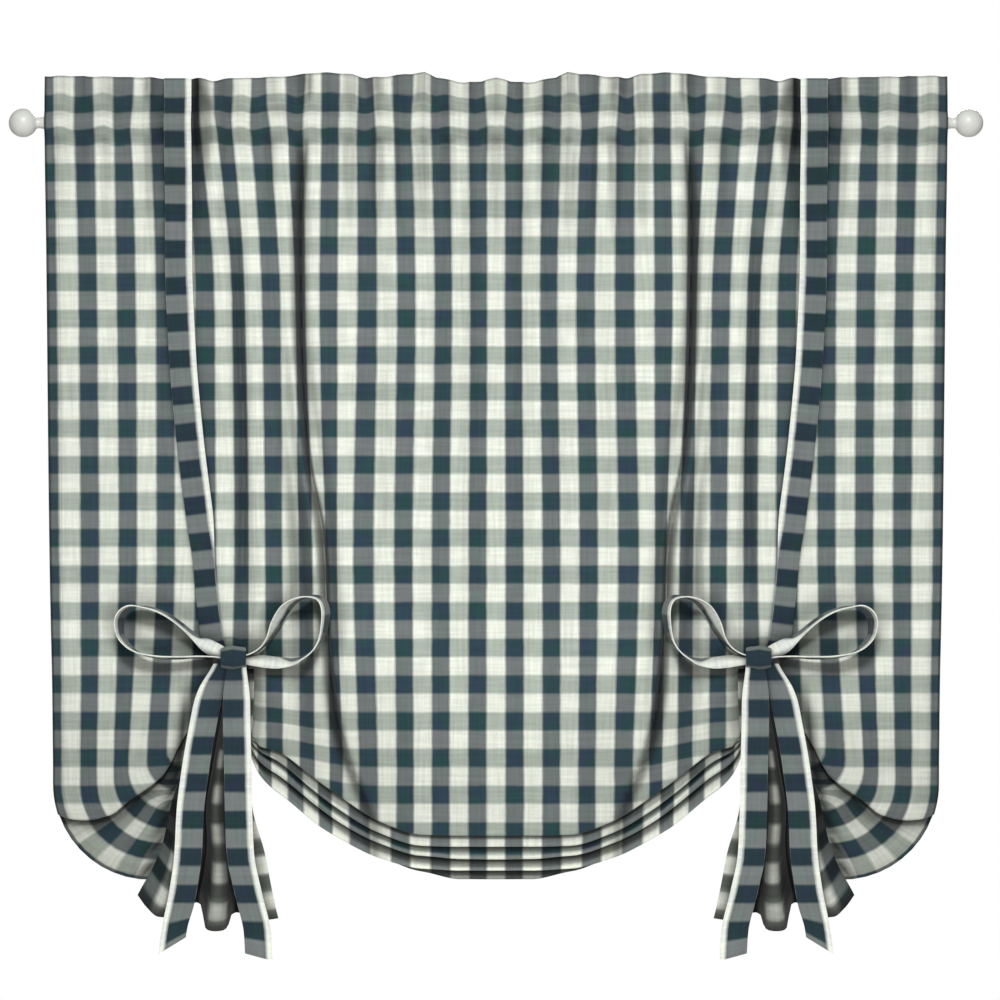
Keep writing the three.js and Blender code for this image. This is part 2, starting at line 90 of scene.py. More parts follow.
# Hanging folds: check at foot, waist, upper, head; width in checks; depth at foot, waist, upper, head
FOLDS = np.array([
    (0.7, 0.7, 0.75, 0.75, 0.7, 2, 4, 4, 2),
    (1.7, 1.7, 1.6, 1.6, 0.9, 1, 3, 4, 2),
    (3.3, 3.3, 3.4, 3.4, 1.0, 0, 0, 2, 6),
    (4.4, 4.6, 5.5, 5.35, 1.2, 2, 8, 8, 3),
    (5.6, 5.7, 6.4, 6.5, 1.0, 3, 11, 3, 2),
    (7.2, 7.4, 7.5, 7.4, 1.0, 2, 6, 5.5, 3),
    (8.5, 8.5, 8.5, 8.55, 0.9, 0, 0, 4, 8),
    (9.6, 9.6, 9.6, 9.6, 1.0, 0, 1, 2, 4),
    (12.6, 12.6, 12.6, 12.6, 1.0, 9, 10, 10, 9),
])

# Narrow troughs, with their width: height, distance from the middle, depth
TROUGHS = [
    (5.5, [
        (-758, 128, 0), (-732, 140, 6), (-670, 165, 8.5), (-622, 175, 10), (-551, 182.5, 12),
        (-456, 186.5, 12), (-353, 204, 12), (-235, 210, 12), (-100, 211, 11), (-45, 208, 8),
        (-10, 206, 1.5), (12, 205, 1), (40, 204, 4), (52, 204, 5),
    ]),
    (5.0, [
        (-520, 276, 0), (-472, 274, 3), (-353, 271.6, 4), (-235, 277, 3.5), (-120, 281, 1.5),
        (-60, 287, 0.5), (-30, 290, 0),
    ]),
    (3.0, [(-430, 38.5, 0), (-330, 38, 2.5), (-120, 37.5, 3), (-28, 37, 0)]),
    (2.5, [(-620, 24, 0), (-420, 25, 2), (-160, 25, 2.4), (-40, 24, 0)]),
    (5.0, [(-560, 121, 0), (-380, 120, 3), (-180, 118, 3), (-40, 120, 0)]),
]

# Ridges of gathered cloth beside a strap at the heading: distance from the middle, width, height
RIDGES = [(343, 11, 15.0), (302, 9, 12.0)]

# Wave of the heading's top edge: distance from the middle, rise
HEADING_WAVE = [
    (0, -2), (34, -6.5), (84, 4), (130, -1), (184, 4.5), (250, -1), (319, -1.5), (370, -1), (484, 1),
]

TOP_BUMPS = 0.35

# Lines of the front layer: distance from the middle, height of its lowest line, of its first small tuck
FRONT_LINES = [
    (0, -781.5, -769), (37, -781.5, -769), (80, -780.5, -768), (126, -766.5, -753.5),
    (165.5, -744, -728.7), (200.5, -718, -704), (235.5, -690, -679), (257, -678, -673),
    (275, -650, -645), (295, -612, -608), (327, -652, -648),
]
SWAG_TUCK_PAST = 4.0
EAR_TUCK_SHORT = 6.0
TUCK_SEARCH = np.linspace(700, 1000, 601)

# Turn of the ears' columns towards the tie: check, height where it starts, radius
PIVOT_CHECK = 8.5
EAR_TURNS = [
    (PIVOT_CHECK, -652, 0.5), (9, -672, 10), (10, -692, 41), (11, -709, 61), (12, -714, 87),
    (EDGE_CHECK, -714, 104),
]
EAR_TURN = 2.0
EAR_RUN = 48.0

# Line where the upper puff of an ear tucks under: distance from the middle, height
EAR_CREASE = [
    (326, -645), (342, -672), (350, -689), (360, -705), (380, -721), (395, -731), (416, -747),
    (443, -752.5), (470, -749), (480, -733),
]

# Layers folded up behind the front: check, spacing, and how far three lower edges show below the front
LAYERS = [
    (0, 6.5, 15, 28, 38.5),
    (1, 6.5, 14.5, 28, 38.5),
    (2, 6.5, 12, 27, 31),
    (3, 6.4, 12.5, 29.5, 28.5),
    (4, 6, 15, 33.5, 32),
    (5, 5.5, 15.5, 36.5, 34),
    (6, 4.8, 16, 36, 35),
    (6.6, 4.3, 13, 29, 28),
    (7, 4, 9, 20, 19),
    (7.6, 3.6, 3, 6, 8),
    (8.3, 3.6, 4, 8, 10),
    (9.2, 4.2, 2, 4, 6),
    (9.9, 5, 0, 0, 0),
    (EDGE_CHECK, 5, -1, -2, -4),
]
LEGS = 6
SHADOW_GAP = 2.4

# Tuck: check, gap, cloth hidden behind it; and how far the bands below it shift outward
TUCKS = [
    (0, 4, 14), (5, 4, 16), (6.6, 3, 10), (7.6, 2, 4), (8.6, 2, 4), (9.6, 5, 12), (EDGE_CHECK, 6, 16),
]
BAND_SHIFT = [
    (0, 0), (1, -1), (2, 3), (3, 8), (4, 12), (5, 13), (6, 14), (7, 8), (8, 0), (EDGE_CHECK, 0),
]
# White row's distance from a band's edge
BAND_ROW = 11.0
# Shade of the bands: number, share on open cloth, how dark its top is, how far that reaches
BAND_SHADES = [(1, 1.22, 0.45, 2.8), (2, 1.42, 0.65, 3.3), (3, 1.6, 0.95, 6.0), (4, 1.9, 0.75, 3.5)]
# Shade of the front face: how dark it is, and how far it reaches beside a line
HEADING_DARK = 0.07
GATHER_DARK = 0.22
SEAM_DARK = 0.16
SEAM_REACH = 7.0
GAP_DARK = 0.9
STRAP_SIDE = 323.5
STRAP_REACH = 5.0
TAIL_REACH = 6.5
FOLD_DARK = 0.6
FOLD_OFFSET = 4.0
FOLD_REACH = 7.0
LOW_DARK = 0.13
SIDE_DARK = 0.06
LOW_SIDE_DARK = 0.09
EAR_BAND_LIGHT = 0.93
EAR_BAND_DARK = 0.5
EAR_BAND_REACH = 12.0
# Width of the swag's checks, rise of its rows towards the tie
SWAG_CHECK = 36.0
ROW_TILT = 12.0
# Rows on an ear's lower band: length of cloth at its start, radius of the turn that spaces them
EAR_ROW_START = 793.4
EAR_ROW_RADIUS = 80.0
# Shift of its columns towards the hem: check, checks
EAR_COLUMN_SHIFT = np.array([(0, 0), (11.4, 0), (12, 0.1), (12.34, 0.25), (EDGE_CHECK, 0)])
# Swell of the swag and of the ears: how far, over which depth below the rod, over which checks
SWAG_SWELL = 17.0
SWAG_SWELL_DROP = (470, 720)
SWAG_SWELL_CHECKS = (4.6, 7)
EAR_SWELL = 14.0
EAR_SWELL_DROP = (585, 700)
EAR_SWELL_CHECKS = (8.6, 10)
# Line of painted shade on the ears beside the tails and the fan: height, distance from the middle
TAIL_SHADE_LINE = [
    (-850, 391), (-815, 379), (-787, 368), (-763, 360), (-722, 349), (-690, 343), (-640, 336), (-600, 331),
]

# Grid of the hanging cloth: first check, last check, steps
COLUMN_SPANS = [
    (0, 3, 17), (3, 4.2, 14), (4.2, 6.2, 34), (6.2, 7.8, 20), (7.8, 10, 18), (10, EDGE_CHECK, 15),
]
# Foot of the heading's own rows, and how much closer rows lie towards the foot of the front and bands
HEADING_FOOT = -45.0
FRONT_CLOSER = 0.28
BAND_CLOSER = 1.8
HEADING_STEPS = 22
FRONT_STEPS = 62
EAR_STEPS = 16
BAND_STEPS = 9
TURN_STEPS = 5
HIDDEN_STEPS = 3
STRIP_STEPS = 11

# Ties
STRAP_WIDTH = 29.3
STRAP = 1.2
STRAP_CLEAR = 0.7
# Centre of a strap: height, distance from the middle
STRAP_PATH = [
    (-580, 300), (-555, 307), (-515, 312), (-441, 318.5), (-343, 330.5), (-246, 339), (-138, 343),
    (48, 343),
]
STRAP_TOP = 47.0
# Straps: place, height of the foot, length of cloth
STRAPS = [("front", -576.0, 630), ("back", -632.0, 725)]
KNOT_LENGTH = 82
WHITE_EDGE = 5.0
STRAP_PATTERN = 0.86
LOOP_WHITE_EDGE = 8.0
# Roll of a front strap near its knot: depth below the rod, loss of width, of pattern, of white edge
ROLL_DROP = (420, 480)
ROLL_WIDTH = 0.2
ROLL_PATTERN = 0.3
ROLL_EDGE = 1.1
# Depth below the rod where folded layers start behind a strap
LAYERS_DROP = (340, 440)
STRAP_ROW = 4.0
END_TURN = 12.0
END_RUN = 20.0
KNOT = {"from": 283.0, "z": -578.0, "width": 27.0, "depth": 20.0, "height": 25.0}
KNOT_FLARE = 0.2
KNOT_CREASE = 0.035
KNOT["ahead"] = CLOTH / 2 + STRAP_CLEAR + STRAP + 0.3

# Bow loops, from the knot around and back: distance from the middle, height, turn of the ribbon
# towards the front in degrees, share of its width, share of its pattern's width
LOOPS = {
    "outer": np.array([
        (288, -576, 74, 0.4, 0.25), (299, -571, 76, 0.6, 0.25), (311, -565, 74, 0.62, 0.25),
        (322, -558, 50, 0.4, 0.4), (332, -548.5, 16, 0.6, 0.8), (343, -539, 10, 0.8, 1),
        (354, -531.5, 7, 0.9, 1), (365.5, -526, 4, 1, 1), (379.5, -522.5, 2, 1, 1),
        (392.5, -521.5, -6, 1, 1), (401, -527, -16, 1, 1), (406, -536.5, -20, 1, 1),
        (405, -550.5, -16, 1, 1), (396, -564.5, -8, 1, 1), (386, -571.5, 0, 1, 1),
        (373, -575.5, 6, 1, 1), (356, -577.5, 8, 0.95, 1), (338, -577.5, 8, 0.85, 1),
        (321, -576.5, 6, 0.7, 1), (303, -577, 6, 0.55, 1), (290, -579, 6, 0.5, 1),
    ]),
    "inner": np.array([
        (278, -577, 4, 0.5, 1), (265, -574, 5, 0.55, 1), (253, -567, 8, 0.6, 0.8),
        (244.5, -556, 14, 0.7, 0.6), (238, -542, 28, 0.8, 0.4), (229, -527, 30, 0.85, 0.4),
        (218, -517, 14, 0.95, 0.8), (206, -512, 4, 1, 1), (195, -511, -6, 1, 1),
        (187, -515.5, -14, 1, 1), (183, -528, -18, 1, 1), (185, -545.5, -14, 1, 1),
        (190, -560.5, -6, 1, 1), (200.5, -572.5, 2, 0.95, 1), (212.5, -579.5, 8, 0.8, 0.9),
        (224, -583, 40, 0.5, 0.4), (236, -583, 70, 0.5, 0.25), (250, -581.5, 74, 0.52, 0.25),
        (264, -580, 70, 0.46, 0.25), (278, -579, 60, 0.4, 0.25),
    ]),
}
LOOP_WIDTH = 25.6
LOOP_FORWARD = 9.0
LOOP_CUP = 3.0
LOOP_STEPS = 121

# Bow tails: height and distance from the middle of the centre line
TAILS = {
    "outer": {
        "ahead": 0.0,
        "slant": 9.0,
        "path": np.array([
            (-885, 347), (-871, 345), (-830, 336), (-785, 330), (-742, 328), (-698, 323), (-655, 316),
            (-612, 307), (-584, 294),
        ]),
    },
    "inner": {
        "ahead": 3.5,
        "slant": -4.0,
        "path": np.array([
            (-897, 254), (-871, 255.5), (-828, 265.5), (-785, 274), (-742, 276), (-698, 277), (-655, 278.5),
            (-612, 279.5), (-582, 280),
        ]),
    },
}
TAIL_CLEAR = 2.2
TAIL_CUP = 1.5
TAIL_NECK = 0.72
TAIL_STEPS = 90

# Gathered fan below each knot: height, outer side, inner side, how far ahead, pleat depth
FAN_ROWS = np.array([
    (-852, 385, 234, 25, 11.5),
    (-817, 367, 241.5, 24, 11),
    (-785, 357, 248, 23, 10.5),
    (-735, 348, 262, 21, 9),
    (-700, 337, 264, 19, 7.5),
    (-660, 326, 263, 15, 6.5),
    (-622, 316, 261, 9, 5),
    (-600, 311, 261, 4, 2.5),
    (-590, 308, 262, 0, 0),
])
# Where the fan's pleats stand: share of its width, share of its waves
FAN_WAVES = [
    (0, 0.08), (0.15, 1 / 6), (0.41, 2 / 6), (0.556, 3 / 6), (0.695, 4 / 6), (0.88, 5 / 6), (1, 0.9),
]
FAN_PLEATS = 3
FAN_CREST = 0.42
# Foot of the pleats: share of the fan's width, drop
FAN_FOOT = [
    (0, -20), (0.06, -8), (0.15, 3), (0.27, 4), (0.36, -8), (0.41, -11), (0.45, -9), (0.48, 15), (0.51, 18),
    (0.556, 18.5), (0.6, 18), (0.635, 15), (0.66, 2), (0.695, 0), (0.76, 0), (0.82, 6), (0.88, 7), (1, 5),
]
# Light on the pleats: share of the fan's width, share of the light
FAN_LIGHT = [
    (0, 0.6), (0.15, 0.64), (0.4, 0.46), (0.556, 0.46), (0.7, 0.5), (0.88, 0.74), (1, 0.88),
]
# Share of the light in its valleys, at its top, on its dark rows; how dark it is by the ear, at its hem
FAN_VALLEY = 0.06
FAN_TOP = 0.7
FAN_DARK_ROW = 0.3
FAN_EAR_DARK = 0.85
FAN_HEM_DARK = 0.6
FAN_HEM = 11.0
FAN_STRETCH = 1.08
FAN_STEPS_DOWN = 54
FAN_STEPS_ACROSS = 57
FAN_ROW = 28.3
# Columns on the fan: share of its width, check
FAN_COLUMNS = [
    (0, 9.42), (0.09, 9.25), (0.2, 8.9), (0.35, 8.6), (0.484, 8.25), (0.556, 8), (0.628, 7.75), (0.76, 7.4),
    (0.88, 7.15), (1, 6.9),
]

# Rod and finials
ROD_RADIUS = 8.0
ROD_HALF = 484.0
BALL_RADIUS = 15.5
BALL_CENTRE = 511.0
BALL_FOOT = 6.4
BALL_STEPS = 28
# Neck of a finial: distance from the rod's end, radius
NECK = [(0.3, 0), (0.3, ROD_RADIUS), (2.2, ROD_RADIUS), (3.2, 7.2), (6, 6.2), (9.5, 5.8), (12, 6)]
LATHE_SIDES = 48


# Sums on curves

def ramp(value, start, end):
    t = np.clip((value - start) / (end - start), 0, 1)
    return t * t * (3 - 2 * t)


def grid(*parts):
    """Arrays that stretch to one shape, joined place by place."""
    return np.stack(np.broadcast_arrays(*parts), axis=-1)


def along_line(offset, reach):
    """1 on a line, fading to 0 beside it."""
    return np.exp(-(offset / reach) ** 2)


def hermite(xs, ys, x):
    """Value at x of a smooth curve through ys at xs, rising only where they rise."""
    ys = np.stack(np.broadcast_arrays(*ys)).astype(float)
    spans = np.diff(xs).reshape((-1,) + (1,) * (ys.ndim - 1))
    secants = np.diff(ys, axis=0) / spans
    before = np.concatenate([secants[:1], secants])
    after = np.concatenate([secants, secants[-1:]])
    level = before * after <= 0
    slopes = np.where(level, 0, 2 * before * after / np.where(level, 1, before + after))
    x = np.clip(x, xs[0], xs[-1])
    i = np.clip(np.searchsorted(xs, x, side="right") - 1, 0, len(xs) - 2)
    rest = np.indices(x.shape) if ys.ndim > 1 else ()
    y0, y1, s0, s1 = (values[(i + k, *rest)] for values in (ys, slopes) for k in (0, 1))
    span = np.diff(xs)[i]
    t = (x - xs[i]) / span
    u = 1 - t
    ends = u * u * (1 + 2 * t) * y0 + t * t * (3 - 2 * t) * y1
    return ends + span * t * u * (u * s0 - t * s1)


def table_curve(table, value=1):
    table = np.asarray(table, dtype=float)
    return lambda x: hermite(table[:, 0], table[:, value], np.asarray(x, dtype=float))


def at_level(z, values):
    z = np.asarray(z, dtype=float)
    return hermite(LEVELS, [np.broadcast_to(v, z.shape) for v in values], z)


# Hanging cloth

column_curves = [table_curve(COLUMNS, i) for i in range(1, 5)]


def across(check, z):
    """Distance from the middle at which a check hangs."""
    check, z = np.broadcast_arrays(np.asarray(check, float), np.asarray(z, float))
    return at_level(z, [c(check) for c in column_curves])


def check_at(distance, z):
    """Check that hangs at a distance from the middle, at one height."""
    checks = np.linspace(0, EDGE_CHECK, 600)
    return np.interp(distance, across(checks, z), checks)


front_fold = table_curve(FRONT_LINES)
turn_start = table_curve(EAR_TURNS)
turn_radius = table_curve(EAR_TURNS, 2)
heading_wave = table_curve(HEADING_WAVE)
ear_crease = table_curve(EAR_CREASE)
layer_spacing = table_curve(LAYERS)
lower_edges = [table_curve(LAYERS, i) for i in (2, 3, 4)]
swag_tuck = table_curve(FRONT_LINES, 2)
tuck_gap = table_curve(TUCKS)
tuck_hide = table_curve(TUCKS, 2)
band_shift = table_curve(BAND_SHIFT)
tail_shade_line = table_curve(TAIL_SHADE_LINE)
trough_curves = [(width, table_curve(t), table_curve(t, 2)) for width, t in TROUGHS]


def pocket_depth(z):
    """Depth of the pocket around the rod: cloth pulled straight from each seam to the rod."""
    seam = np.where(z > 0, POCKET_TOP, POCKET_FOOT)
    height = np.abs(z)
    reach = np.hypot(seam, SEAM_DEPTH)
    angle = np.arccos(POCKET_RADIUS / reach) + np.arctan2(SEAM_DEPTH, seam)
    touch_height = POCKET_RADIUS * np.cos(angle)
    touch_depth = POCKET_RADIUS * np.sin(angle)
    share = np.clip((height - touch_height) / (seam - touch_height), 0, 1)
    straight = touch_depth + (SEAM_DEPTH - touch_depth) * share
    round_part = np.sqrt(np.maximum(POCKET_RADIUS ** 2 - height ** 2, 0))
    return np.where(height <= touch_height, round_part, straight)


def fold_depth(check, z):
    check, z = np.broadcast_arrays(check, z)
    depth = np.zeros(z.shape)
    for fold in FOLDS:
        offset = np.minimum(0.5, np.abs(check - at_level(z, fold[:4])) / fold[4])
        depth += at_level(z, fold[5:]) * 0.5 * (1 + np.cos(2 * np.pi * offset))
    above = ramp(z, POCKET_TOP, HEADING_TOP)
    below = ramp(-z, -STRIP_FOOT, FOLDS_FULL)
    return depth * np.where(z > 0, above, below)


def swell(check, z):
    swag = SWAG_SWELL * ramp(-z, *SWAG_SWELL_DROP) * (1 - ramp(check, *SWAG_SWELL_CHECKS))
    ear = EAR_SWELL * ramp(-z, *EAR_SWELL_DROP) * ramp(check, *EAR_SWELL_CHECKS)
    return swag + ear


def trough_depth(distance, z):
    depth = 0
    for width, middle, deep in trough_curves:
        offset = distance - middle(z)
        depth = depth + deep(z) * along_line(offset, np.where(offset > 0, width, 0.5 * width))
    return depth


# Waves along the heading: length of a radian, turn, size
gather_rng = np.random.default_rng(11)
GATHERS = []
for _ in range(5):
    gather_length = gather_rng.uniform(24, 52) / (2 * math.pi)
    GATHERS.append((gather_length, gather_rng.uniform(0, 6.28), gather_rng.uniform(0.5, 1)))
# Uneven pull along the pocket's seams, and sideways
PUCKERS = [(6.1, 0.5, 1), (9.7, 2.0, 1), (3.9, 0, 0.6)]
SWAYS = [(9.5, 1.2, 1), (17.0, 0.4, 0.7)]
# Strength of the gathers above the pocket, on it and below it
GATHER_STRENGTHS = (1.275, 0.1875, 0.9)


def waves_at(waves, distance):
    return sum(size * np.sin(distance / length + turn) for length, turn, size in waves)


def gather(distance, z):
    """Small gathers along the heading and below the pocket, and the ridges beside the straps."""
    above, on_rod, below = GATHER_STRENGTHS
    strength = above * ramp(z, 10, 40) + on_rod + below * ramp(-z, 12, 26)
    strength = strength * (1 - ramp(-z, 40, 150))
    ridges = sum(high * along_line(distance - at, wide) for at, wide, high in RIDGES)
    return waves_at(GATHERS, distance) * strength - np.maximum(ridges * (1 - ramp(-z, 20, 90)), 0)


def front_y(check, distance, z):
    folds = fold_depth(check, z) + trough_depth(distance, z)
    return -pocket_depth(z) + folds - swell(check, z) + gather(distance, z)


def front_length(check):
    """Length of a column from the heading's top to the lowest point of the front layer."""
    swag = HEADING_TOP - front_fold(across(check, LEVELS[0]) + band_shift(check))
    run = EAR_RUN * ramp(check, PIVOT_CHECK, PIVOT_CHECK + 1)
    ear = HEADING_TOP - turn_start(check) + turn_radius(check) * EAR_TURN + run
    return np.where(check <= PIVOT_CHECK, swag, ear)


def guide(check, length):
    """Place along a column. In the ears it turns towards the tie, then runs on behind the fan."""
    z = HEADING_TOP - length
    straight = across(check, z)
    start = turn_start(check)
    radius = turn_radius(check)
    angle = np.minimum(EAR_TURN, np.maximum(start - z, 0) / radius)
    run = np.maximum(start - z, 0) - radius * angle
    turned = (check > PIVOT_CHECK) & (z < start)
    around = across(check, start) - radius + radius * np.cos(angle) - run * np.sin(angle)
    distance = np.where(turned, around, straight)
    height = np.where(turned, start - radius * np.sin(angle) - run * np.cos(angle), z)
    return distance, height


def tuck_length(check, fold):
    """Length of a column down to the front's tuck: a line in the swag, the crease in the ears."""
    swag = HEADING_TOP - swag_tuck(across(check, LEVELS[0]))
    swag = np.minimum(swag, fold + SWAG_TUCK_PAST)
    lengths, checks = np.meshgrid(TUCK_SEARCH, check, indexing="ij")
    distance, z = guide(checks, lengths)
    crease = TUCK_SEARCH[np.argmax(z < ear_crease(distance), axis=0)]
    crease = np.minimum(crease, fold - EAR_TUCK_SHORT)
    return np.where(check > PIVOT_CHECK, crease, swag)


def fold_stops(check):
    """Lengths at which each check's cloth turns, and the gaps between its layers."""
    fold = front_length(check)
    tuck = tuck_length(check, fold)
    hide = tuck_hide(check)
    spacing = layer_spacing(check)
    lows = [fold + edge(check) for edge in lower_edges]
    rest = FLAT_LENGTH - fold - 2 * hide
    high = (fold + 2 * lows[0] + 2 * lows[1] + lows[2] - rest) / LEGS
    stops = [tuck, tuck - hide, fold, high, lows[0], high, lows[1], high, lows[2]]
    gaps = [tuck_gap(check)] * 2 + [spacing] * 2 + [spacing * SHADOW_GAP] + [spacing] * 3
    return stops, gaps


def column_paths(check):
    """Each check's path down the front and through the folded layers.

    Gives the length along the guide, the distance behind the front, the length of cloth and the
    band: 0 on the front, then 1 to 4 below it.
    """
    stops, gaps = fold_stops(check)
    zero = np.zeros(check.shape)
    heights = np.linspace(HEADING_TOP, HEADING_FOOT, HEADING_STEPS)
    rows = [(zero + HEADING_TOP - z, zero, 0.0) for z in heights]
    start = HEADING_TOP - HEADING_FOOT
    end = stops[0] - gaps[0] / 2
    for step in range(1, FRONT_STEPS + 1):
        share = step / FRONT_STEPS
        share = share + FRONT_CLOSER * share * (1 - share)
        rows.append((start + (end - start) * share, zero, 0.0))
    behind = zero
    for turn, gap in enumerate(gaps):
        down = turn % 2 == 0
        sign = 1 if down else -1
        band = (turn + 1) // 2
        centre = stops[turn] - sign * gap / 2
        steps = TURN_STEPS if down else HIDDEN_STEPS
        for step in range(1, steps + 1):
            angle = math.pi * step / steps
            here = behind + gap / 2 * (1 - math.cos(angle))
            rows.append((centre + sign * gap / 2 * math.sin(angle), here, band))
        behind = behind + gap
        last = turn == len(gaps) - 1
        end = stops[turn + 1] + (0 if last else sign * gaps[turn + 1] / 2)
        steps = HIDDEN_STEPS if down else BAND_STEPS
        if turn == 1:
            steps = EAR_STEPS
        for step in range(1, steps + 1):
            share = step / steps
            if not down and turn > 1:
                share = 1 - (1 - share) ** BAND_CLOSER
            rows.append((centre + (end - centre) * share, behind, band + (share if down else 0)))
    length, behind, band = (np.array(column) for column in zip(*rows))
    steps = np.hypot(np.diff(length, axis=0), np.diff(behind, axis=0))
    cloth = np.concatenate([np.zeros((1, len(check))), np.cumsum(steps, axis=0)])
    return length, behind, cloth, band


def pocket_extra():
    """Length of cloth that the bulge over the rod takes up, by height."""
    z = np.linspace(HEADING_TOP, EXTRA_FOOT, 400)
    depth = pocket_depth(z)
    extra = np.append(0, np.cumsum(np.hypot(np.diff(z), np.diff(depth)) + np.diff(z)))
    return lambda height: np.interp(-np.asarray(height), -z, extra)


extra_length = pocket_extra()


def cloth_points(signed_check, length, behind, band):
    """Places of the cloth, and its heights before the wave of the heading lifts them."""
    check = np.abs(signed_check)[None] * np.ones(length.shape)
    distance, z = guide(check, length)
    shift = band_shift(check) * np.minimum(band, 1)[:, None]
    distance = distance + shift
    wave = heading_wave(distance) + TOP_BUMPS * gather(distance, HEADING_TOP)
    rise = wave * ramp(z, POCKET_TOP, HEADING_TOP)
    y = front_y(check + shift / SWAG_CHECK, distance, z) + behind
    y = y - trough_depth(distance, z) * ramp(behind, 8, 20)
    sway = HEADING_SWAY * ramp(z, -5, 45) - POCKET_SWAY * ramp(z, -60, -8) * ramp(-z, -20, 15)
    inside = 1 - ramp(check, 11.6, EDGE_CHECK)
    distance = distance + waves_at(SWAYS, distance) * inside * sway
    return grid(np.sign(signed_check) * distance, y, z + rise), z


# Meshes

def sheet_part(points, uv, thickness, shade=None):
    """Closed sheet around a grid of points: vertices, faces, texture places, outline flags, shade.

    The shade is for the first face only: 1 on open cloth, less in hollows.
    """
    rows, columns = points.shape[:2]
    normal = np.cross(np.gradient(points, axis=1), np.gradient(points, axis=0))
    normal /= np.maximum(np.linalg.norm(normal, axis=-1, keepdims=True), 1e-9)
    verts = np.concatenate([points - normal * thickness / 2, points + normal * thickness / 2])
    count = rows * columns
    index = np.arange(count).reshape(rows, columns)
    a, b = index[:-1, :-1].ravel(), index[:-1, 1:].ravel()
    c, d = index[1:, 1:].ravel(), index[1:, :-1].ravel()
    rim = np.concatenate([index[0, :-1], index[:-1, -1], index[-1, :0:-1], index[:0:-1, 0]])
    after = np.roll(rim, -1)
    faces = np.concatenate([
        grid(a, d, c, b),
        grid(a, b, c, d) + count,
        grid(after + count, rim + count, rim, after),
    ])
    outline = np.zeros(2 * count, dtype=np.int8)
    outline[rim] = 1
    outline[rim + count] = 2
    places = np.concatenate([uv.reshape(-1, 2)] * 2)
    shade = np.ones(count) if shade is None else np.broadcast_to(shade, (rows, columns)).ravel()
    return verts.reshape(-1, 3), faces, places, outline, np.append(shade, np.ones(count))


def add_object(name, data):
    thing = bpy.data.objects.new(name, data)
    bpy.context.scene.collection.objects.link(thing)
    return thing


def make_piece(name, parts, material):
    """Object of one or more sheets, with texture places in metres of cloth."""
    starts = np.cumsum([0] + [len(part[0]) for part in parts])
    moved = [(part[0], part[1] + start, *part[2:]) for part, start in zip(parts, starts)]
    verts, faces, uv, outline, shade = (np.concatenate(arrays) for arrays in zip(*moved))
    mesh = bpy.data.meshes.new(name)
    mesh.vertices.add(len(verts))
    mesh.vertices.foreach_set("co", (verts * MM).ravel())
    mesh.loops.add(faces.size)
    mesh.loops.foreach_set("vertex_index", faces.ravel())
    mesh.polygons.add(len(faces))
    mesh.polygons.foreach_set("loop_start", np.arange(0, faces.size, 4))
    mesh.update(calc_edges=True)
    layer = mesh.uv_layers.new(name="cloth")
    layer.data.foreach_set("uv", (uv * MM)[faces.ravel()].ravel())
    mesh.shade_smooth()
    edges = np.empty(2 * len(mesh.edges), dtype=np.int32)
    mesh.edges.foreach_get("vertices", edges)
    ends = outline[edges.reshape(-1, 2)]
    sharp = (ends[:, 0] > 0) & (ends[:, 0] == ends[:, 1])
    mesh.attributes.new("sharp_edge", "BOOLEAN", "EDGE").data.foreach_set("value", sharp)
    # Painted shade and painted light for each vertex, read by the cloth's material
    shades = mesh.attributes.new("shade", "FLOAT", "POINT")
    shades.data.foreach_set("value", shade.astype(np.float32))
    mesh.materials.append(material)
    mesh.validate()
    piece = add_object(name, mesh)
    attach(piece, "root")
    return piece


# Materials. Colours are 8-bit display values, and a pair is the two ends of an uneven dye

WHITE_YARN = (235, 239, 227)
DARK_HALF = [(110, 122, 118), (116, 119, 121)]
NAVY_DYE = [(38, 71, 70), (47, 63, 81)]
LIGHT_HALF = (173, 182, 171)
TIE_NAVY_DYE = [(30, 55, 55), (36, 48, 65)]
TIE_LIGHT_HALF = (226, 230, 224)
PAINT = [(206, 208, 202), (224, 225, 219)]
FLOOR_PAINT = [(232, 231, 228), (238, 237, 234)]
STRIPE_CRISP = 2.2
STRIPE_UNEVEN = 1.6
YARN = 1.1
STITCH = 3.2
THREAD = 1.1
# Softness of the painted shade along the turned edges, then reach of the painted shade along the heading's
# top fold
EDGE_SOFT = 1.8
TOP_FOLD_SHADE = 3.0
# Rows of stitching, one of them (at 93) a painted highlight drawn as pale thread: across (0) or along (1)
# the cloth, place, change of tone
STITCH_AND_HIGHLIGHT_ROWS = [(1, 30.0, 0.16), (1, 77.0, 0.22), (1, 93.0, 0.14), (1, FLAT_LENGTH - 24.0, -0.2)]
STITCH_AND_HIGHLIGHT_ROWS += [(0, side * (FLAT_WIDTH / 2 - 13.0), -0.2) for side in (-1, 1)]
# Painted shade along the turned edges, a dark outline where the cloth turns away from the light: across or
# along the cloth, place, how dark
EDGE_SHADE_LINES = [(0, FLAT_WIDTH / 2 - 3.4, 0.6), (1, FLAT_LENGTH - 3.4, 0.65)]


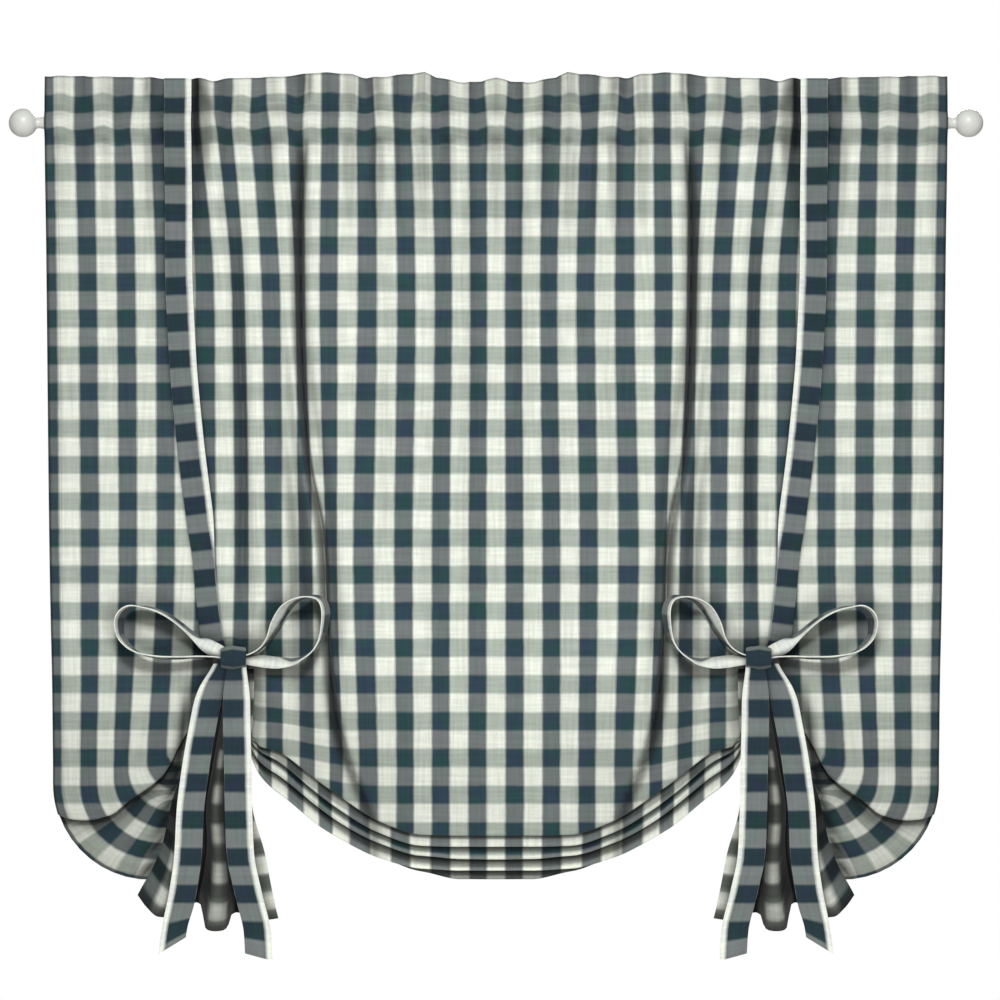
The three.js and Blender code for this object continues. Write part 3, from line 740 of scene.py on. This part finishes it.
class Nodes:
    """Short forms for making nodes."""

    def __init__(self, owner):
        owner.use_nodes = True
        self.tree = owner.node_tree
        self.tree.nodes.clear()

    def add(self, kind, inputs=(), **settings):
        node = self.tree.nodes.new(kind)
        for key, value in settings.items():
            setattr(node, key, value)
        for socket, value in dict(inputs).items():
            if isinstance(value, bpy.types.NodeSocket):
                self.tree.links.new(value, node.inputs[socket])
            else:
                node.inputs[socket].default_value = value
        return node

    def math(self, operation, *values, clamp=False):
        node = self.add("ShaderNodeMath", enumerate(values), operation=operation, use_clamp=clamp)
        return node.outputs[0]

    def scaled(self, value, factor, plus, clamp=False):
        """A value times a factor, plus another value."""
        return self.math("MULTIPLY_ADD", value, factor, plus, clamp=clamp)

    def waves(self, kind, place, pitch):
        """Sine or cosine along a place in metres, with its pitch in millimetres."""
        return self.math(kind, self.math("MULTIPLY", place, 2 * math.pi / (pitch * MM)))

    def vector(self, operation, first, second):
        return self.add("ShaderNodeVectorMath", {0: first, 1: second}, operation=operation).outputs[0]

    def noise(self, place, scale, detail=2.0, distortion=0.0):
        """Outputs of a noise: its value, then its colour."""
        inputs = {"Vector": place, "Scale": scale, "Detail": detail, "Distortion": distortion}
        return self.add("ShaderNodeTexNoise", inputs).outputs

    def mix(self, factor, first, second):
        node = self.add("ShaderNodeMix", {0: factor, 6: first, 7: second}, data_type="RGBA")
        return node.outputs[2]

    def finish(self, **inputs):
        """Surface shader with these inputs, named with underscores for spaces."""
        sockets = {name.replace("_", " "): value for name, value in inputs.items()}
        shader = self.add("ShaderNodeBsdfPrincipled", sockets)
        self.add("ShaderNodeOutputMaterial", {0: shader.outputs[0]})


def linear(*display):
    """Linear colour from 8-bit display values above 10."""
    return (*(((value / 255 + 0.055) / 1.055) ** 2.4 for value in display), 1.0)


def stripes(nodes, place, pitch, phase):
    """1 on white stripes and 0 on dark ones."""
    from_white = nodes.math("SUBTRACT", place, phase * MM)
    return nodes.scaled(nodes.waves("COSINE", from_white, pitch), STRIPE_CRISP, 0.5, clamp=True)


def gingham_material(name, navy_dye, light_half, seams):
    """Cotton gingham. Upright yarns show more than cross yarns, so the half tones differ."""
    material = bpy.data.materials.new(name)
    nodes = Nodes(material)
    uv = nodes.add("ShaderNodeUVMap", uv_map="cloth").outputs[0]
    uneven = nodes.vector("SUBTRACT", nodes.noise(uv, 55.0)[1], (0.5,) * 3)
    moved = nodes.vector("ADD", uv, nodes.vector("MULTIPLY", uneven, (STRIPE_UNEVEN * MM,) * 3))
    place = nodes.add("ShaderNodeSeparateXYZ", {0: moved}).outputs
    warp = stripes(nodes, place[0], CHECK, 0)
    weft = stripes(nodes, place[1], ROW_PITCH, ROW_PHASE)

    dye = nodes.scaled(nodes.noise(uv, 34.0, 3.0)[0], 3.0, -1.0, clamp=True)
    navy = nodes.mix(dye, linear(*navy_dye[0]), linear(*navy_dye[1]))
    dark_half = nodes.mix(dye, linear(*DARK_HALF[0]), linear(*DARK_HALF[1]))
    white_column = nodes.mix(weft, linear(*light_half), linear(*WHITE_YARN))
    dark_column = nodes.mix(weft, navy, dark_half)
    colour = nodes.mix(warp, dark_column, white_column)

    flat = nodes.add("ShaderNodeSeparateXYZ", {0: uv}).outputs
    yarns = nodes.math("MULTIPLY", nodes.waves("SINE", flat[0], YARN), nodes.waves("SINE", flat[1], YARN))
    slub = nodes.noise(uv, 420.0)[0]
    tone = nodes.scaled(yarns, 0.06, nodes.scaled(slub, 0.16, 0.56))
    for stretch in ((280.0, 16.0, 1.0), (16.0, 280.0, 1.0)):
        thread = nodes.noise(nodes.vector("MULTIPLY", uv, stretch), 1.0, 1.0)[0]
        tone = nodes.scaled(thread, 0.36, tone)
    # Only the panel's cloth gets stitching and the painted shade along its edges and top fold
    if seams:
        tone = nodes.math("MULTIPLY", tone, stitch_and_shade_tone(nodes, flat))
    # Painted shade: ambient occlusion darkens the colour in hollows and creases, and the shade attribute
    # adds painted shade and painted light from the cloth's shape
    hollow_shade = nodes.add("ShaderNodeAmbientOcclusion", {"Distance": 0.03}, samples=6).outputs["AO"]
    hollow_shade = nodes.scaled(nodes.math("POWER", hollow_shade, 2.2), 0.88, 0.12)
    shade = nodes.add("ShaderNodeAttribute", attribute_name="shade").outputs["Fac"]
    tone = nodes.math("MULTIPLY", nodes.math("MULTIPLY", tone, hollow_shade), shade)
    toned = nodes.add("ShaderNodeVectorMath", {0: colour, "Scale": tone}, operation="SCALE").outputs[0]

    crease = nodes.noise(uv, 16.0, 3.0, 0.6)[0]
    soft = nodes.add("ShaderNodeBump", {"Height": crease, "Strength": 0.3, "Distance": 0.006})
    weave = {"Height": nodes.scaled(yarns, 0.5, slub), "Strength": 0.35, "Distance": 0.0005}
    bump = nodes.add("ShaderNodeBump", {**weave, "Normal": soft.outputs[0]})
    nodes.finish(
        Base_Color=toned,
        Roughness=nodes.scaled(slub, 0.15, 0.8),
        Specular_IOR_Level=0.2,
        Sheen_Weight=0.15,
        Sheen_Roughness=0.5,
        Normal=bump.outputs[0],
    )
    return material


def stitch_and_shade_tone(nodes, flat):
    """Stitching, pale on the heading and dark on the hems, with one pale row that is a painted highlight;
    painted shade along the turned edges and along the heading's top fold.
    """
    dash = nodes.waves("SINE", flat[0], STITCH)
    tone = 1.0
    # Stitch lines; the pale row at 93 is a painted highlight
    for axis, where, change in STITCH_AND_HIGHLIGHT_ROWS:
        offset = nodes.math("ABSOLUTE", nodes.math("SUBTRACT", flat[axis], where * MM))
        line = nodes.scaled(offset, -1 / (THREAD * MM), 1.0, clamp=True)
        thread = nodes.scaled(dash, 0.3 * change, change)
        tone = nodes.math("MULTIPLY", tone, nodes.scaled(line, thread, 1.0))
    # Painted shade along the turned edges
    for axis, where, dark in EDGE_SHADE_LINES:
        past = nodes.math("SUBTRACT", nodes.math("ABSOLUTE", flat[axis]), where * MM)
        turned = nodes.math("DIVIDE", past, EDGE_SOFT * MM, clamp=True)
        tone = nodes.math("MULTIPLY", tone, nodes.scaled(turned, -dark, 1.0))
    # Painted shade along the heading's top fold
    top = nodes.scaled(nodes.math("ABSOLUTE", flat[1]), -1 / (TOP_FOLD_SHADE * MM), 1.0, clamp=True)
    return nodes.math("MULTIPLY", tone, nodes.scaled(top, -0.5, 1.0))


def paint_material(name):
    """White paint with faint unevenness."""
    material = bpy.data.materials.new(name)
    nodes = Nodes(material)
    place = nodes.add("ShaderNodeTexCoord").outputs["Object"]
    cloud = nodes.noise(place, 60.0, 4.0)[0]
    grain = nodes.noise(place, 900.0)[0]
    bump = nodes.add("ShaderNodeBump", {"Height": grain, "Strength": 0.1, "Distance": 0.0003})
    nodes.finish(
        Base_Color=nodes.mix(cloud, linear(*PAINT[0]), linear(*PAINT[1])),
        Roughness=nodes.scaled(cloud, 0.2, 0.28),
        Normal=bump.outputs[0],
    )
    return material


gingham = gingham_material("gingham", NAVY_DYE, LIGHT_HALF, True)
tie_gingham = gingham_material("tie_gingham", TIE_NAVY_DYE, TIE_LIGHT_HALF, False)
white_paint = paint_material("white_paint")


# Panel

half_checks = [np.linspace(*span, endpoint=False) for span in COLUMN_SPANS]
half_checks = np.concatenate(half_checks + [[EDGE_CHECK]])
signed_checks = np.append(-half_checks[:0:-1], half_checks)


def band_rows(cloth, band, check):
    """Shift of the rows so that each band below the front shows a white row along its edge."""
    swag = 1 - ramp(check, 7, 8.5)
    anchors = [np.zeros(check.shape)]
    for number in (1, 2, 3, 4):
        edge = cloth[np.nonzero(band == number)[0][-1]]
        row = round((float(np.mean(edge[check < 7])) - ROW_PHASE) / ROW_PITCH)
        anchors.append((ROW_PHASE + ROW_PITCH * row + BAND_ROW - edge) * swag)
    low = np.minimum(np.floor(band).astype(int), 3)
    share = (band - low)[:, None]
    anchors = np.array(anchors)
    return anchors[low] * (1 - share) + anchors[low + 1] * share


def row_tilt(length, band, check):
    """Rise of the front's rows towards the tie, just above the swag's tuck."""
    tuck = length[np.nonzero(band == 0)[0][-1]]
    near = ramp(length - tuck, -75, 0)
    side = ramp(check, 3, 6.5) * (1 - ramp(check, 7.5, 8.5))
    return ROW_TILT * near * side * (1 - np.minimum(band, 1))[:, None]


def ear_rows(cloth, length, band, check):
    """Shift that turns the rows of an ear's lower band with its columns."""
    below_start = turn_start(check) - HEADING_TOP + length
    angle = np.clip(below_start / turn_radius(check), 0, EAR_TURN)
    share = np.where(band <= 1, band, 0)[:, None] * ramp(check, 9.4, 10.2)
    return (EAR_ROW_START + EAR_ROW_RADIUS * angle - cloth) * share * (1 - ramp(angle, 1.35, 1.9))


def hanging_part():
    check = np.abs(signed_checks)
    length, behind, cloth, band = column_paths(check)
    points, z = cloth_points(signed_checks, length, behind, band)
    cloth = cloth + np.where(band[:, None] > 0, extra_length(EXTRA_FOOT), extra_length(z))
    cloth = cloth + row_tilt(length, band, check)
    seams = ramp(z, -45, -10) * (1 - ramp(z, 28, 46))
    cloth = cloth + PUCKER_ROWS * waves_at(PUCKERS, np.abs(points[..., 0])) * seams
    cloth = cloth + band_rows(cloth, band, check)
    cloth = cloth + ear_rows(cloth, length, band, check)
    shift = np.interp(check, *EAR_COLUMN_SHIFT.T) * np.where(band <= 1, band, 0)[:, None]
    uv = grid(np.sign(signed_checks) * (check - shift) * CHECK, cloth)
    return sheet_part(points, uv, CLOTH, cloth_shade(points, length, band, check))


def cloth_shade(points, length, band, check):
    """Painted shade in the heading's gathers and along its seams, beside straps, tails and the first
    trough, towards the bottom and the sides, and at the top of each band; painted light on the bands' open
    cloth.
    """
    distance = np.abs(points[..., 0])
    z = points[..., 2]
    # Painted shade on the heading: darker overall, in the gathers and at the puckers along the pocket's
    # seams
    gathers = HEADING_DARK * ramp(z, -60, 0) + GATHER_DARK * np.clip(gather(distance, z), 0, 1)
    seams = along_line(z - POCKET_TOP, SEAM_REACH) + along_line(z + POCKET_FOOT, SEAM_REACH)
    gathers = gathers + SEAM_DARK * np.clip(waves_at(PUCKERS, distance), 0, 1.5) * seams
    # Painted shade in the gaps beside the straps and tails, and beside the swag's first trough
    strap_gap_shade = GAP_DARK * along_line(distance - STRAP_SIDE, STRAP_REACH) * ramp(z, -40, -20)
    tail_gap_shade = GAP_DARK * along_line(distance - tail_shade_line(z), TAIL_REACH) * ramp(-z, 590, 640)
    fold_line = trough_curves[0][1](z) + FOLD_OFFSET
    fold_side_shade = FOLD_DARK * along_line(distance - fold_line, FOLD_REACH) * ramp(-z, 540, 640)
    # Painted shade, darker towards the bottom and towards the sides
    away = LOW_DARK * ramp(-z, 560, 760) + SIDE_DARK * ramp(distance, 250, 430)
    away = away + LOW_SIDE_DARK * ramp(-z, 570, 650) * ramp(distance, 50, 120)
    shade = (1 - gathers) * (1 - strap_gap_shade) * (1 - tail_gap_shade) * (1 - fold_side_shade) * (1 - away)
    swag = 1 - ramp(check, 7.6, 8.5)
    edge = length[np.nonzero(band == 0)[0]].max(axis=0)
    # Bands: painted light on their open cloth, painted shade at their top under the band above, and on the
    # ears' lower band under its crease
    for number, open_share, dark, tall in BAND_SHADES:
        rows = np.nonzero(band == number)[0]
        below = np.maximum(length[rows] - edge, 0)
        lit = open_share * (1 - dark * np.exp(-(below / tall) ** 4))
        ear = EAR_BAND_LIGHT - EAR_BAND_DARK * along_line(below, EAR_BAND_REACH) if number == 1 else 1
        shade[rows] *= lit * swag + ear * (1 - swag)
        edge = np.maximum(edge, length[rows].max(axis=0))
    return shade


def pocket_part():
    """Back of the heading and pocket: the top of the cloth, turned over and sewn down."""
    z = np.linspace(HEADING_TOP, STRIP_FOOT, STRIP_STEPS)
    length = (HEADING_TOP - z)[:, None] * np.ones((1, len(signed_checks)))
    points, _ = cloth_points(signed_checks, length, 0 * length, np.zeros(STRIP_STEPS))
    depth = pocket_depth(z)[:, None]
    points[..., 1] = np.maximum(points[..., 1] + 2 * depth, depth)
    return sheet_part(points, grid(signed_checks * CHECK, -length), CLOTH)


fan_curves = [table_curve(FAN_ROWS, i) for i in range(1, 5)]


def fan_shade(wave, share, down, v):
    """Painted shade between the pleats, beside the ear, by place across the fan, on every second row and
    along the hem.
    """
    # Painted shade in the valleys and towards the top, by the ear, on every second row and along the hem
    lit = FAN_VALLEY + (1 - FAN_VALLEY) * ramp(wave, -0.9, 0.4)
    lit = lit * (FAN_TOP + (1 - FAN_TOP) * ramp(down, 0.1, 0.6))
    ear_side_shade = (1 - ramp(share, 0.2, 0.35)) * (1 - ramp(down, 0.64, 0.85))
    row = np.cos(2 * np.pi * (v - ROW_PHASE) / ROW_PITCH)
    rows = FAN_DARK_ROW + (1 - FAN_DARK_ROW) * ramp(row, -0.4, 0.3)
    hem = 1 - FAN_HEM_DARK * ramp(down, 0.975, 0.995)
    return lit * (1 - FAN_EAR_DARK * ear_side_shade) * table_curve(FAN_LIGHT)(share) * rows * hem


def fan_part(side):
    top, foot = FAN_ROWS[-1, 0], FAN_ROWS[0, 0]
    z = np.linspace(top, foot, FAN_STEPS_DOWN)[:, None]
    share = np.linspace(0, 1, FAN_STEPS_ACROSS)[None]
    outer, inner, ahead, pleat = (c(z) for c in fan_curves)
    distance = outer + (inner - outer) * share
    wave = -np.cos(2 * np.pi * FAN_PLEATS * table_curve(FAN_WAVES)(share))
    crest = 2 * ((wave + 1) / 2) ** FAN_CREST
    down = (top - z) / (top - foot)
    low = table_curve(FAN_FOOT)(share) * ramp(down, 0.4, 1)
    seat = front_y(check_at(distance[0], top), distance[0], top)
    y = seat - ahead - pleat * crest + FAN_HEM * ramp(down, 0.945, 1)
    points = grid(side * distance, y, z - low)
    v = FLAT_LENGTH - FAN_ROW - (z - foot) * FAN_STRETCH
    uv = grid(side * CHECK * table_curve(FAN_COLUMNS)(share), v)
    shade = fan_shade(wave, share, down, v)
    if side > 0:
        points, uv, shade = points[:, ::-1], uv[:, ::-1], shade[:, ::-1]
    return sheet_part(points, uv, CLOTH, shade)


panel = make_piece("shade_cloth", [hanging_part(), pocket_part(), fan_part(-1), fan_part(1)], gingham)
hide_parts("shade_panel")


# Ties

strap_centre = table_curve(STRAP_PATH)


def under_strap(z, pick, layers):
    """Y of the cloth under a strap at one height: its foremost or rearmost point."""
    distance = float(strap_centre(z)) + np.linspace(-0.6, 0.6, 13) * STRAP_WIDTH
    check = check_at(distance, z)
    y = front_y(check, distance, z)
    if layers:
        layers_depth = (LEGS + SHADOW_GAP - 1) * layer_spacing(check) + 2 * tuck_gap(check)
        y = y + layers_depth * float(ramp(-z, *LAYERS_DROP))
        y = y + (2 * float(pocket_depth(z)) if z >= STRIP_FOOT else 0)
    return pick(y)


def smooth(values, passes):
    for _ in range(passes):
        padded = np.pad(values, 1, mode="edge")
        values = (padded[:-2] + 2 * padded[1:-1] + padded[2:]) / 4
    return values


def turned_under():
    """How far down and forward a back strap's end runs under the gathered cloth."""
    turn = np.radians(np.linspace(12, 90, 7))
    run = np.array([6.0, 12.0, END_RUN])
    down = np.append(END_TURN * np.sin(turn), np.full(3, END_TURN))
    return down, np.append(END_TURN * (1 - np.cos(turn)), END_TURN + run)


def strap_part(side, foot, layers):
    """Strap from the heading down over the cloth, or behind it."""
    z = np.append(np.linspace(STRAP_TOP, -30, 40), np.linspace(-36, foot, 120))
    away = CLOTH / 2 + STRAP_CLEAR + STRAP / 2
    pick = np.max if layers else np.min
    y = np.array([under_strap(height, pick, layers) for height in z]) + (away if layers else -away)
    y = smooth(y, 2)
    v = HEADING_TOP - z + extra_length(z) - STRAP_ROW
    slope = np.gradient(strap_centre(z), z)
    if layers:
        down, forward = turned_under()
        z = np.append(z, foot - down)
        y = np.append(y, y[-1] - forward)
        v = np.append(v, v[-1] + down + forward)
        slope = np.append(slope, np.zeros(len(down)))
    edge = np.linspace(-1, 1, 9)
    slope = slope[:, None]
    rolled = ramp(-z, *ROLL_DROP)[:, None] * (0 if layers else 1)
    half = STRAP_WIDTH / 2 * (1 - ROLL_WIDTH * rolled)
    distance = strap_centre(z)[:, None] + edge * half
    height = z[:, None] - edge * half * slope
    points = grid(side * distance, y[:, None], height)
    from_inner = (edge + 1) / 2 * STRAP_WIDTH
    white = CHECK / 4 - WHITE_EDGE * (1 - ROLL_EDGE * rolled)
    u = STRAP_PATTERN * from_inner * (1 - ROLL_PATTERN * rolled) + white
    return sheet_part(points, grid(u, v[:, None]), STRAP)


knot_y = under_strap(KNOT["z"], np.min, False) - KNOT["depth"] / 2 - KNOT["ahead"]


def knot_part(side):
    """Turn of strap around the crossing: a short tube, open to the sides."""
    angle = np.radians(np.linspace(-86, 266, 73))[:, None]
    along = np.linspace(-1, 1, 17)[None]
    flare = 1.02 - KNOT_FLARE * along ** 2
    crease = 1 + KNOT_CREASE * np.sin(3 * along * np.pi / 2 + 2 * np.sin(angle))
    y = knot_y + KNOT["depth"] / 2 * flare * crease * np.cos(angle - np.pi / 2) * -1
    z = KNOT["z"] + KNOT["height"] / 2 * flare * crease * np.sin(angle - np.pi / 2)
    x = side * (KNOT["from"] + along * KNOT["width"] / 2)
    uv = grid(CHECK / 2 + along * KNOT["width"] / 3, ROW_PHASE + angle * KNOT["height"] / 2)
    return sheet_part(grid(x, y, z), uv, STRAP)


def loop_part(side, loop):
    """Ribbon that leaves the knot, turns at the tip and comes back, seen mostly on edge."""
    steps = np.hypot(np.diff(loop[:, 0]), np.diff(loop[:, 1]))
    run = np.append(0, np.cumsum(steps))
    along = np.linspace(0, run[-1], LOOP_STEPS)
    distance, z, turn, width, pattern = (smooth(hermite(run, list(loop[:, i]), along), 6) for i in range(5))
    tangent = grid(np.gradient(distance), np.gradient(z))
    tangent /= np.linalg.norm(tangent, axis=-1, keepdims=True)
    out = ramp(np.abs(distance - KNOT["from"]), 10, 90)
    edge = np.linspace(-1, 1, 11)[None]
    half = (LOOP_WIDTH / 2 * width)[:, None]
    lean = np.radians(turn)[:, None]
    offset = edge * half * np.sin(lean)
    forward = LOOP_FORWARD * out[:, None] - LOOP_CUP * np.sin(lean) * (edge ** 2 - 1)
    points = grid(
        side * (distance[:, None] - tangent[:, 1:] * offset),
        knot_y - forward + edge * half * np.cos(lean),
        z[:, None] + tangent[:, :1] * offset,
    )
    u = (edge + 1) / 2 * STRAP_WIDTH * pattern[:, None] + CHECK / 4 - LOOP_WHITE_EDGE
    return sheet_part(points, grid(u, along[:, None]), STRAP), run[-1]


def tail_part(side, tail, white_out):
    """Strap end that hangs from the knot over the fan's foremost pleats."""
    path = tail["path"]
    centre = table_curve(path)
    z = np.linspace(path[-1, 0], path[0, 0], TAIL_STEPS)
    share = np.linspace(0, 1, TAIL_STEPS)
    top = FAN_ROWS[-1, 0]
    seat = float(front_y(check_at(KNOT["from"], top), KNOT["from"], top))
    ahead, pleat = (curve(z) for curve in fan_curves[2:])
    pleats = seat - ahead - 2 * pleat - CLOTH / 2 - TAIL_CLEAR - STRAP / 2
    y = smooth(np.minimum(knot_y, pleats), 8) - tail["ahead"]
    width = STRAP_WIDTH * (TAIL_NECK + (1 - TAIL_NECK) * ramp(share, 0, 0.14))
    edge = np.linspace(-1, 1, 9)
    distance = centre(z)[:, None] + edge * width[:, None] / 2
    low = tail["slant"] * edge * ramp(share, 0.85, 1)[:, None]
    cup = TAIL_CUP * (1 - edge ** 2)
    points = grid(side * distance, y[:, None] - cup, z[:, None] - low)
    from_white = (1 - edge) / 2 if white_out else (1 + edge) / 2
    u = STRAP_PATTERN * from_white * STRAP_WIDTH + CHECK / 4 - WHITE_EDGE
    v = (ROW_PHASE + ROW_PITCH / 2 - z)[:, None]
    return sheet_part(points, grid(u, v), STRAP), path[-1, 0] - path[0, 0]


def make_tie(node, part, length, held, rests_on, name=None):
    """Piece of a tie, named after its node unless a name is given."""
    piece = make_piece(name or f"bow_{node}", [part], tie_gingham)
    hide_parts(node)
    return piece


for side_name, side in SIDES:
    for place, foot, length in STRAPS:
        strap = strap_part(side, foot, place == "back")
        make_tie(f"tie_{place}_{side_name}", strap, length, "hung", ["rod"], f"{place}_strap_{side_name}")
    knot = make_tie(f"knot_{side_name}", knot_part(side), KNOT_LENGTH, "gathered", [panel])
    for name, loop in LOOPS.items():
        make_tie(f"loop_{name}_{side_name}", *loop_part(side, loop), "folded", [knot])
    for name, tail in TAILS.items():
        make_tie(f"tail_{name}_{side_name}", *tail_part(side, tail, name == "outer"), "hung", [knot])


# Rod and finials

def lathe_piece(name, profile, material):
    """Solid of revolution about the X axis. The profile runs from axis to axis."""
    angle = np.linspace(0, 2 * np.pi, LATHE_SIDES, endpoint=False)
    x, radius = profile[1:-1].T[:, :, None]
    ring = grid(x, radius * np.cos(angle), radius * np.sin(angle))
    ends = [(profile[end, 0], 0, 0) for end in (0, -1)]
    verts = np.concatenate([ring.reshape(-1, 3), ends]) * MM
    index = np.arange(len(x) * LATHE_SIDES).reshape(-1, LATHE_SIDES)
    after = np.roll(index, -1, axis=1)
    sides = grid(index[:-1], index[1:], after[1:], after[:-1]).reshape(-1, 4)
    first_end = grid(index.size, index[0], after[0])
    last_end = grid(index.size + 1, after[-1], index[-1])
    faces = sides.tolist() + first_end.tolist() + last_end.tolist()
    if profile[-1, 0] > profile[0, 0]:
        faces = [face[::-1] for face in faces]
    mesh = bpy.data.meshes.new(name)
    mesh.from_pydata(verts.tolist(), [], faces)
    mesh.shade_smooth()
    mesh.materials.append(material)
    piece = add_object(name, mesh)
    bevel = piece.modifiers.new("soft_edges", "BEVEL")
    bevel.width = 0.4 * MM
    bevel.segments = 2
    bevel.limit_method = "ANGLE"
    bevel.angle_limit = math.radians(50)
    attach(piece, "root")
    return piece


def finial_profile():
    neck = [(ROD_HALF + along, radius) for along, radius in NECK]
    first = math.pi - math.asin(BALL_FOOT / BALL_RADIUS)
    angle = first * (1 - np.arange(BALL_STEPS + 1) / BALL_STEPS)
    ball = [(BALL_CENTRE + BALL_RADIUS * math.cos(a), BALL_RADIUS * math.sin(a)) for a in angle]
    return np.array(neck + ball)


rod_profile = np.array([(-ROD_HALF, 0), (-ROD_HALF, ROD_RADIUS), (ROD_HALF, ROD_RADIUS), (ROD_HALF, 0)])
rod = lathe_piece("curtain_rod", rod_profile, white_paint)
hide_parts("rod")
for side_name, side in SIDES:
    finial = lathe_piece(f"ball_finial_{side_name}", finial_profile() * (side, 1), white_paint)
    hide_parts(f"finial_{side_name}")


# Stage, light and camera, in metres

VIEW_WIDTH = 1.078
VIEW_CENTRE = Vector((0.0043, -0.015, -0.4075))
CAMERA_DISTANCE = 6.0
FLOOR_HALF = 1.5
FLOOR_LEVEL = -1.15
WORLD_LIGHT = 0.2
# Lamps: name, place, power in watts, size
LAMPS = [
    ("key", (-0.1, -4.6, 2.2), 205.0, 1.0),
    ("fill", (0.4, -3.2, -0.5), 12.0, 1.4),
    ("back", (0.6, 3.6, 1.0), 135.0, 1.5),
]


def add_floor():
    mesh = bpy.data.meshes.new("floor")
    signs = [(-1, -1), (1, -1), (1, 1), (-1, 1)]
    corners = [(x * FLOOR_HALF, y * FLOOR_HALF, FLOOR_LEVEL) for x, y in signs]
    mesh.from_pydata(corners, [], [(0, 1, 2, 3)])
    material = bpy.data.materials.new("pale_floor")
    nodes = Nodes(material)
    cloud = nodes.noise(nodes.add("ShaderNodeTexCoord").outputs["Object"], 3.0)[0]
    colour = nodes.mix(cloud, linear(*FLOOR_PAINT[0]), linear(*FLOOR_PAINT[1]))
    nodes.finish(Base_Color=colour, Roughness=0.8)
    mesh.materials.append(material)
    floor = add_object("floor", mesh)


def add_world():
    """White surroundings that light the object more softly than they look."""
    world = bpy.data.worlds.new("studio")
    bpy.context.scene.world = world
    nodes = Nodes(world)
    seen = nodes.add("ShaderNodeBackground", {0: (1, 1, 1, 1)}).outputs[0]
    light = nodes.add("ShaderNodeBackground", {0: (1, 1, 1, 1), 1: WORLD_LIGHT}).outputs[0]
    in_view = nodes.add("ShaderNodeLightPath").outputs["Is Camera Ray"]
    mixed = nodes.add("ShaderNodeMixShader", {0: in_view, 1: light, 2: seen}).outputs[0]
    nodes.add("ShaderNodeOutputWorld", {0: mixed})


def add_lamp(name, place, power, size):
    light = bpy.data.lights.new(name, "AREA")
    light.energy = power
    light.size = size
    lamp = add_object(name, light)
    lamp.location = place
    lamp.rotation_euler = (VIEW_CENTRE - Vector(place)).to_track_quat("-Z", "Y").to_euler()


def add_camera():
    camera = bpy.data.cameras.new("camera")
    camera.sensor_width = 36.0
    camera.lens = camera.sensor_width * CAMERA_DISTANCE / VIEW_WIDTH
    camera.clip_end = 50.0
    eye = add_object("camera", camera)
    eye.location = VIEW_CENTRE - Vector((0, CAMERA_DISTANCE, 0))
    eye.rotation_euler = (math.radians(90), 0, 0)
    bpy.context.scene.camera = eye


add_floor()
add_world()
for lamp in LAMPS:
    add_lamp(*lamp)
add_camera()
bpy.context.scene.view_settings.view_transform = "Standard"
